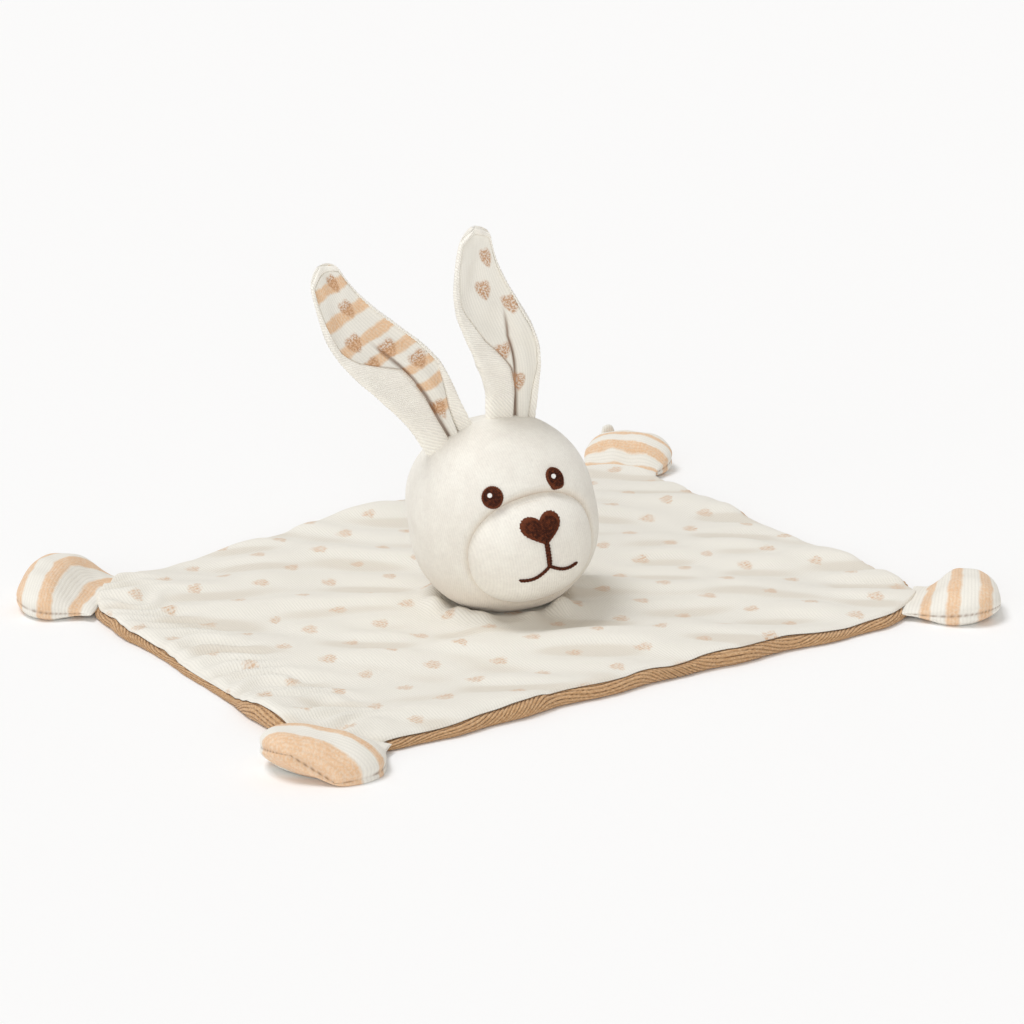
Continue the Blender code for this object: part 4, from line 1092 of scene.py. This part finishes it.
def make_eye(name, sign):
    """An eye: a ragged round of satin stitch with a raised rim, and its white dot."""
    shares = np.array([
        sign * math.cos(EYE_UP_ANGLE) * math.sin(EYE_SIDE_ANGLE),
        math.cos(EYE_UP_ANGLE) * math.cos(EYE_SIDE_ANGLE),
        math.sin(EYE_UP_ANGLE),
    ])
    normal = shares @ HEAD_AXES
    across = np.cross(HEAD_UP, normal)
    across /= np.linalg.norm(across)
    upright = np.cross(normal, across)
    centre = normal * float(head_reach(shares[None])[0][0])

    def surface(x, y, raised):
        guess = centre + x[..., None] * across + y[..., None] * upright
        unit = guess / np.linalg.norm(guess, axis=-1, keepdims=True)
        reach, _ = head_reach(unit @ HEAD_AXES.T)
        return unit * (reach + raised)[..., None] + HEAD_CENTRE

    turn = circle(EYE_SIDES)
    ragged = 1.0 + 0.026 * np.sin(turn * 29.0) + 0.020 * np.sin(turn * 37.0 + sign)
    ragged += EYE_POINTS[name] * bell((turn - EYE_POINT_TURN) / 0.30)
    rim = stacked(np.cos(turn) * EYE_WIDTHS[name], np.sin(turn)) * (EYE_RADIUS * ragged)[:, None]
    eye = satin_patch(f"{name}_stitching", rim, surface, EYE_DOME, STITCH_SINK, brown_thread)
    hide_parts(name)
    turn = circle(DOT_SIDES)
    dot_rim = stacked(np.cos(turn), np.sin(turn)) * DOT_RADIUS

    def on_eye(x, y, raised):
        return surface(x + DOT_PLACE[0], y + DOT_PLACE[1], raised + EYE_DOME)

    dot = satin_patch(f"{name}_dot", dot_rim, on_eye, 0.0003, 0.0003, white_thread, rings=8)
    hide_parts(f"{name}_highlight")
    for piece, slot_name in ((eye, "brown_thread"), (dot, "white_thread")):
        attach(piece, "head")


def on_muzzle(side, up, raised):
    """Places raised a little over the muzzle, which is a squarish dome over its middle plane."""
    left = np.clip(1.0 - muzzle_used(side - MUZZLE_SHIFT, up), 0.0, 1.0)
    out = MUZZLE_HALF[2] * left ** (1.0 / MUZZLE_SQUARENESS) + raised
    return stacked(side, up, out) @ MUZZLE_AXES + MUZZLE_CENTRE


def make_nose():
    """A stitched heart with a raised rim and ragged edge."""
    turn = circle(NOSE_SIDES)
    heart_x = np.sign(np.sin(turn)) * np.abs(np.sin(turn)) ** 2.4
    heart_y = sum(size * np.cos(number * turn) for number, size in NOSE_HEART)
    heart_y = (heart_y - heart_y.min()) / (heart_y.max() - heart_y.min()) - 0.5
    ragged = 1.0 + 0.020 * np.sin(turn * 37.0) + 0.016 * np.sin(turn * 53.0)
    rim = stacked(heart_x * NOSE_SIZE[0] / 2 * ragged, heart_y * NOSE_SIZE[1] * ragged)
    rise = MUZZLE_DROP + NOSE_RISE

    def surface(x, y, raised):
        return on_muzzle(x + NOSE_SHIFT, y + rise, raised)

    nose = satin_patch("nose_stitching", rim, surface, NOSE_DOME, STITCH_SINK, brown_thread, rings=24)
    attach(nose, "head")
    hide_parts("nose")


def stitched_line(name, side, up, radius, material):
    """A line of stitches on the muzzle: a round cord whose thickness beats with each stitch."""
    walked = distances(side, up)
    marks = np.linspace(0.0, walked[-1], int(walked[-1] / 0.00016))
    side, up = np.interp(marks, walked, side), np.interp(marks, walked, up)
    centre = on_muzzle(side, up, np.full_like(side, 0.00025))
    along = np.gradient(centre, axis=0)
    along /= np.linalg.norm(along, axis=1, keepdims=True)
    outwards = centre - HEAD_CENTRE
    across = np.cross(along, outwards)
    across /= np.linalg.norm(across, axis=1, keepdims=True)
    outwards = np.cross(across, along)
    turn = circle(LINE_SIDES)
    taper = np.clip(np.minimum(marks, marks[-1] - marks) / radius, 0.02, 1.0) ** 0.5
    beat = 0.90 + 0.34 * np.abs(np.sin(marks * math.pi / 0.0012))
    size = (radius * 0.85 * taper * beat)[:, None, None]
    cosine, rising = np.cos(turn)[:, None], np.sin(turn)[:, None]
    skew = 0.0002 * cosine * along[:, None]
    ring = centre[:, None] + size * (cosine * across[:, None] + rising * outwards[:, None]) + skew
    walked, round_angle = level_grid(marks, turn)
    cloth = stacked(walked, round_angle * radius, np.zeros_like(walked))
    # Painted highlight on each stitch along the line
    crease = 0.25 + 0.25 * np.cos(FULL_TURN * walked / 0.0013)
    poles = centre[[0, -1]]
    fields = {"cloth": (cloth, np.zeros((2, 3))), "crease": (crease, np.zeros(2))}
    return capped(name, ring, poles, fields, material)


def make_mouth():
    """A smile that sags on each side of its middle, and the short line up to the nose."""
    share = np.linspace(-1.0, 1.0, 121)
    sag = SMILE_SAG * np.sin(math.pi * np.abs(share))
    up = MUZZLE_DROP + MOUTH_JOIN_UP + (SMILE_END_UP - MOUTH_JOIN_UP) * np.abs(share) - sag
    smile = stitched_line("mouth_smile_stitching", share * SMILE_HALF_WIDTH, up, THREAD_RADIUS, brown_thread)
    top = MUZZLE_DROP + NOSE_RISE - NOSE_SIZE[1] / 2 + 0.0018
    stem_up = np.linspace(top, MUZZLE_DROP + MOUTH_JOIN_UP, 40)
    stem_side = np.linspace(NOSE_SHIFT, 0.0, 40)
    stem_radius = THREAD_RADIUS * STEM_THICKNESS
    stem = stitched_line("mouth_line_stitching", stem_side, stem_up, stem_radius, brown_thread)
    for piece in (smile, stem):
        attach(piece, "head")
        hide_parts("mouth")


# Ear pieces


def ear_frame(sign, root_angle, back):
    """Where an ear's root lies on the crown: axes along the hinge, backwards and out of the head, and the
    skin's slope there."""
    shares = np.array([sign * math.sin(root_angle), 0.0, math.cos(root_angle)])
    half = np.array(HEAD_SIZE) / 2
    reach = ((np.abs(shares) / half) ** HEAD_SQUARENESS).sum() ** (-1.0 / HEAD_SQUARENESS)
    steep = (abs(shares[0]) / HEAD_SIZE[0]) ** (HEAD_SQUARENESS - 1.0) / HEAD_SIZE[0]
    level = (shares[2] / HEAD_SIZE[2]) ** (HEAD_SQUARENESS - 1.0) / HEAD_SIZE[2]
    slope = math.atan2(sign * steep, level)
    normal = HEAD_UP * math.cos(slope) + HEAD_SIDE * math.sin(slope)
    hinge = HEAD_SIDE * math.cos(slope) - HEAD_UP * math.sin(slope)
    centre = (HEAD_SIDE * shares[0] + HEAD_UP * shares[2]) * reach + normal * EAR_ROOT_LIFT + HEAD_CENTRE
    backwards = np.cross(normal, hinge)
    length_axis = normal * math.cos(back) + backwards * math.sin(back)
    return np.array([hinge, np.cross(length_axis, hinge), length_axis]), centre, slope


def ear_sway(along, bow):
    """How far aside the ear's middle line lies: a bow and a wave."""
    return bow * np.sin(math.pi * along) + EAR_WAVE * np.sin(FULL_TURN * along)


def ear_middle(along, across, lean, bow, length, width):
    """The ear's middle surface and its forward normals: curved along, cupped across, round at the tip, its
    root sunk in the head along the crown's own curve."""
    turned = lean * smoothstep(along / EAR_TURN_SHARE)
    scallop = 1.0 + 0.030 * np.abs(np.sin(along * math.pi * 50.0)) * np.abs(across) ** 8
    rounding = np.sqrt(1.0 - np.clip((along - 1.0 + EAR_TIP_ROUND) / EAR_TIP_ROUND, 0.0, 0.9985) ** 2)
    half = width * np.interp(along, EAR_WIDTH_MARKS, EAR_WIDTH_SHARES) / 2 * rounding
    aside = across * scallop * half
    sway = ear_sway(along, bow)
    x = length * along * math.sin(lean) + (aside + sway) * np.cos(turned)
    z = length * along * math.cos(lean) - (aside + sway) * np.sin(turned)
    z = z - (EAR_ROOT_SINK + EAR_ROOT_CURVE * across**2) * (1.0 - smoothstep(along / 0.10))
    clear = smoothstep(along / 0.5)
    y = EAR_ROOT_BACK * (1.0 - clear) - EAR_CUP * clear * across**2 * (1.0 - along**2)
    points = stacked(x, y, z)
    normal = np.cross(np.gradient(points, axis=0), np.gradient(points, axis=1))
    normal /= np.linalg.norm(normal, axis=-1, keepdims=True)
    return points, normal * -np.sign(normal[..., 1:2])


def lining_span(name, along):
    """Where across the ear its lining starts and ends, from -1 to 1, at each share along it."""
    marks, starts, ends = EAR_LININGS[name]
    return np.interp(along, marks, starts), np.interp(along, marks, ends)


def past_lining(name, along, across):
    """How far past the lining's nearer side or its tip a place lies: 0 there, 1 at the ear's edge, negative
    on the lining."""
    start, end = lining_span(name, along)
    beside = np.maximum((start - across) / (start + 1.0), (across - end) / (1.0 - end))
    return np.maximum(beside, (along - EAR_TIP_LIP + 0.045 * across**2) / (1.0 - EAR_TIP_LIP))


def ear_folds(name, along, across):
    """Height of the lining's own folds, and how deep in the crease a place lies: a sharp crease along the
    ear, a round swell beside it, and soft wrinkles."""
    line = np.interp(along, [0.0, 0.2, 0.4, 0.6], EAR_CREASES[name])
    fade = 1.0 - smoothstep((along - 0.42) / 0.20)
    crease = -0.0016 * bell((across - line) / 0.05)
    swell = 0.0014 * bell((across - line - 0.34) / 0.24)
    soft = 0.00045 * lumps(along * 0.11 + 0.3, across * 0.022)
    return (crease + swell) * fade + soft, bell((across - line) / 0.045) * fade


def printed_hearts(name, along, aside, bow, length):
    """How much of a printed heart covers each place of the lining: a round with a notch on top for each
    one."""
    aside = aside + ear_sway(along, bow)
    cover = np.zeros_like(along)
    for place_along, place_aside in EAR_HEARTS[name]:
        across = np.abs(aside - place_aside) / HEART_SIZE
        upright = (along * length - place_along) / HEART_SIZE - 0.55 * across
        cover = np.maximum(cover, 1.0 - smoothstep((across**2 + upright**2 - 0.55) / 0.9))
    return cover


def make_ear(name, sign, root_angle, lean, back, bow, length, width):
    """An ear: a velour back whose edge rolls over the front, and the printed lining inside it."""
    axes, centre, slope = ear_frame(sign, root_angle, back)
    rows = 1.0 - (1.0 - np.linspace(0.0, 1.0, EAR_GRID[0])) ** 1.35
    along, across = level_grid(rows, crowded(EAR_GRID[1], EAR_CROWDING))
    points, normal = ear_middle(along, across, lean - slope, bow, length, width)
    past = past_lining(name, along, across)
    over = np.clip(past, 0.0, 1.0)
    lip = np.clip(1.0 - np.abs(2.0 * over - 1.0) ** 6, 0.0, 1.0) ** 0.5
    lip_height = EAR_LIP_HEIGHT + 0.0012 * (1.0 - smoothstep(along / 0.55)) * (across < 0.0)
    edge = np.clip(1.0 - np.abs(across) ** 7, 0.0, 1.0) ** 0.5
    wrinkle = EAR_WRINKLES * lumps(along * 0.15 + sign, across * 0.03)
    front = points + normal * (lip * lip_height - 0.0006 * (past <= 0.0) + wrinkle)[..., None]
    behind = points - normal * (EAR_BACK_HEIGHT * edge + wrinkle)[..., None]
    join_rims(front, behind, points)
    aside = across * width / 2
    cloth = stacked(along * length + 0.55 * aside, aside, np.zeros_like(along))
    # Painted shadow: a dark line on the velour along the edge where it rolls over the lining
    crease = bell(over / 0.03) * (1.0 - smoothstep(along / 0.8)) * 0.7 * (across < 0.4)
    fields = {"cloth": (cloth, cloth + 0.01), "crease": (crease, crease * 0.0)}
    velvet = pillow(f"ear_{name}_velour", front @ axes + centre, behind @ axes + centre, fields, ear_velour)
    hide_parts(f"ear_{name}_back")
    rows = rows * EAR_LINING_END
    along = along * EAR_LINING_END
    start, end = lining_span(name, rows)
    start = (start - 0.4 * np.minimum(start + 1.0, 0.5))[:, None]
    end = (end + 0.4 * np.minimum(1.0 - end, 0.5))[:, None]
    inner = start + (end - start) * np.linspace(0.0, 1.0, EAR_GRID[1])
    points, normal = ear_middle(along, inner, lean - slope, bow, length, width)
    wrinkle = EAR_WRINKLES * lumps(along * 0.15 + sign, inner * 0.03)
    past = past_lining(name, along, inner)
    tucked_under = smoothstep((past + 0.10) / 0.16)
    fold, folded = ear_folds(name, along, inner)
    lift = np.maximum((0.0007 + fold + wrinkle) * (1.0 - tucked_under) + 0.0001, -0.0002)
    over_side = points + normal * lift[..., None]
    under_side = points + normal * (lift - 0.0005)[..., None]
    join_rims(over_side, under_side, under_side)
    cloth = stacked(inner * width / 2, along * length, np.zeros_like(along))
    # Painted shade: darker in the lining's fold crease and beside the velour flap that overhangs it
    beside_flap = bell(past / 0.05) * (inner < 0.4)
    beside_flap *= 1.0 - smoothstep(along / 0.8)
    crease = np.clip(np.maximum(folded, beside_flap) * 0.75, 0.0, 1.0)
    spots = printed_hearts(name, along, inner * width / 2, bow, length)
    fields = {"cloth": (cloth, cloth), "crease": (crease, crease), "print": (spots, spots)}
    over_side, under_side = over_side @ axes + centre, under_side @ axes + centre
    lining = pillow(f"ear_{name}_lining", over_side, under_side, fields, ear_linings[name])
    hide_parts(f"ear_{name}_front")
    start, end = (centre + axes[2] * distance for distance in EAR_BLEND)
    for piece in (velvet, lining):
        tuple(start)
        tuple(end)
        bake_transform(piece)


# Floor, light and camera


def make_stage():
    """A wide pale floor, soft light from above and from the camera's side, and the photograph's camera."""
    corners = ((-1, -1), (1, -1), (1, 1), (-1, 1))
    mesh = bpy.data.meshes.new("floor")
    mesh.from_pydata([(x * FLOOR_REACH, y * FLOOR_REACH, 0.0) for x, y in corners], [], [(0, 1, 2, 3)])
    floor = bpy.data.objects.new("floor", mesh)
    bpy.context.scene.collection.objects.link(floor)
    material = bpy.data.materials.new("White floor")
    material.use_nodes = True
    shader = material.node_tree.nodes["Principled BSDF"]
    shader.inputs["Base Color"].default_value = FLOOR_COLOUR
    shader.inputs["Roughness"].default_value = 1.0
    shader.inputs["Specular IOR Level"].default_value = 0.0
    mesh.materials.append(material)
    world = bpy.data.worlds.new("Studio")
    bpy.context.scene.world = world
    world.use_nodes = True
    background = world.node_tree.nodes["Background"]
    background.inputs["Color"].default_value = WORLD_TINT
    background.inputs["Strength"].default_value = WORLD_LIGHT
    right = np.array([math.cos(CAMERA_AZIMUTH), math.sin(CAMERA_AZIMUTH), 0.0])
    towards = np.array([right[1], -right[0], 0.0])
    away = towards * math.cos(CAMERA_ELEVATION) + UP * math.sin(CAMERA_ELEVATION)
    lamps = (("key", KEY_LIGHT, KEY_SPREAD, KEY_FROM), ("fill", FILL_LIGHT, FILL_SPREAD, FILL_FROM))
    for name, energy, spread, shares in lamps:
        lamp = bpy.data.lights.new(name, "SUN")
        lamp.energy = energy
        lamp.angle = math.radians(spread)
        lamp.color = LAMP_TINT
        sun = bpy.data.objects.new(name, lamp)
        direction = right * shares[0] + towards * shares[1] + UP * shares[2]
        sun.rotation_euler = Vector(direction.tolist()).to_track_quat("Z", "Y").to_euler()
        bpy.context.scene.collection.objects.link(sun)
    camera = bpy.data.cameras.new("camera")
    camera.lens = CAMERA_LENS
    camera.sensor_width = CAMERA_SENSOR
    camera.shift_x, camera.shift_y = CAMERA_SHIFT
    camera.clip_end = CAMERA_RANGE
    holder = bpy.data.objects.new("camera", camera)
    bpy.context.scene.collection.objects.link(holder)
    matrix = Matrix(np.stack([right, np.cross(away, right), away], axis=1).tolist()).to_4x4()
    matrix.translation = (away * CAMERA_DISTANCE + PLACE).tolist()
    holder.matrix_world = matrix
    bpy.context.scene.camera = holder
    bpy.context.scene.view_settings.view_transform = "Standard"


tan_velour = tan_velour_material()
brown_thread = thread_material("Brown satin stitch", BROWN, BROWN_HIGHLIGHT)
white_thread = thread_material("White satin stitch", WHITE, WHITE_HIGHLIGHT)
# A lighter copy of the velour: painted light on the ears
ear_velour = velour_material("Ear velour", 0.42, 0.42, 0.08)
ear_linings = {
    "left": striped_jersey("Striped ear lining", 0.05, EAR_BANDS, 0.09, on_ear=True),
    "right": printed_jersey("Spotted ear lining", SHADE_BROWN, on_ear=True),
}

blanket_cloth = make_cloth()
underside, edge_roll = make_underside()
for paw_name, paw_values in PAWS.items():
    paw_centre, paw_axes = make_paw(paw_name, *paw_values)
make_tab(paw_centre, paw_axes)
make_head()
make_muzzle()
make_eye("eye_left", -1.0)
make_eye("eye_right", 1.0)
make_nose()
make_mouth()
for ear_name, ear_values in EARS.items():
    make_ear(ear_name, *ear_values)
make_stage()
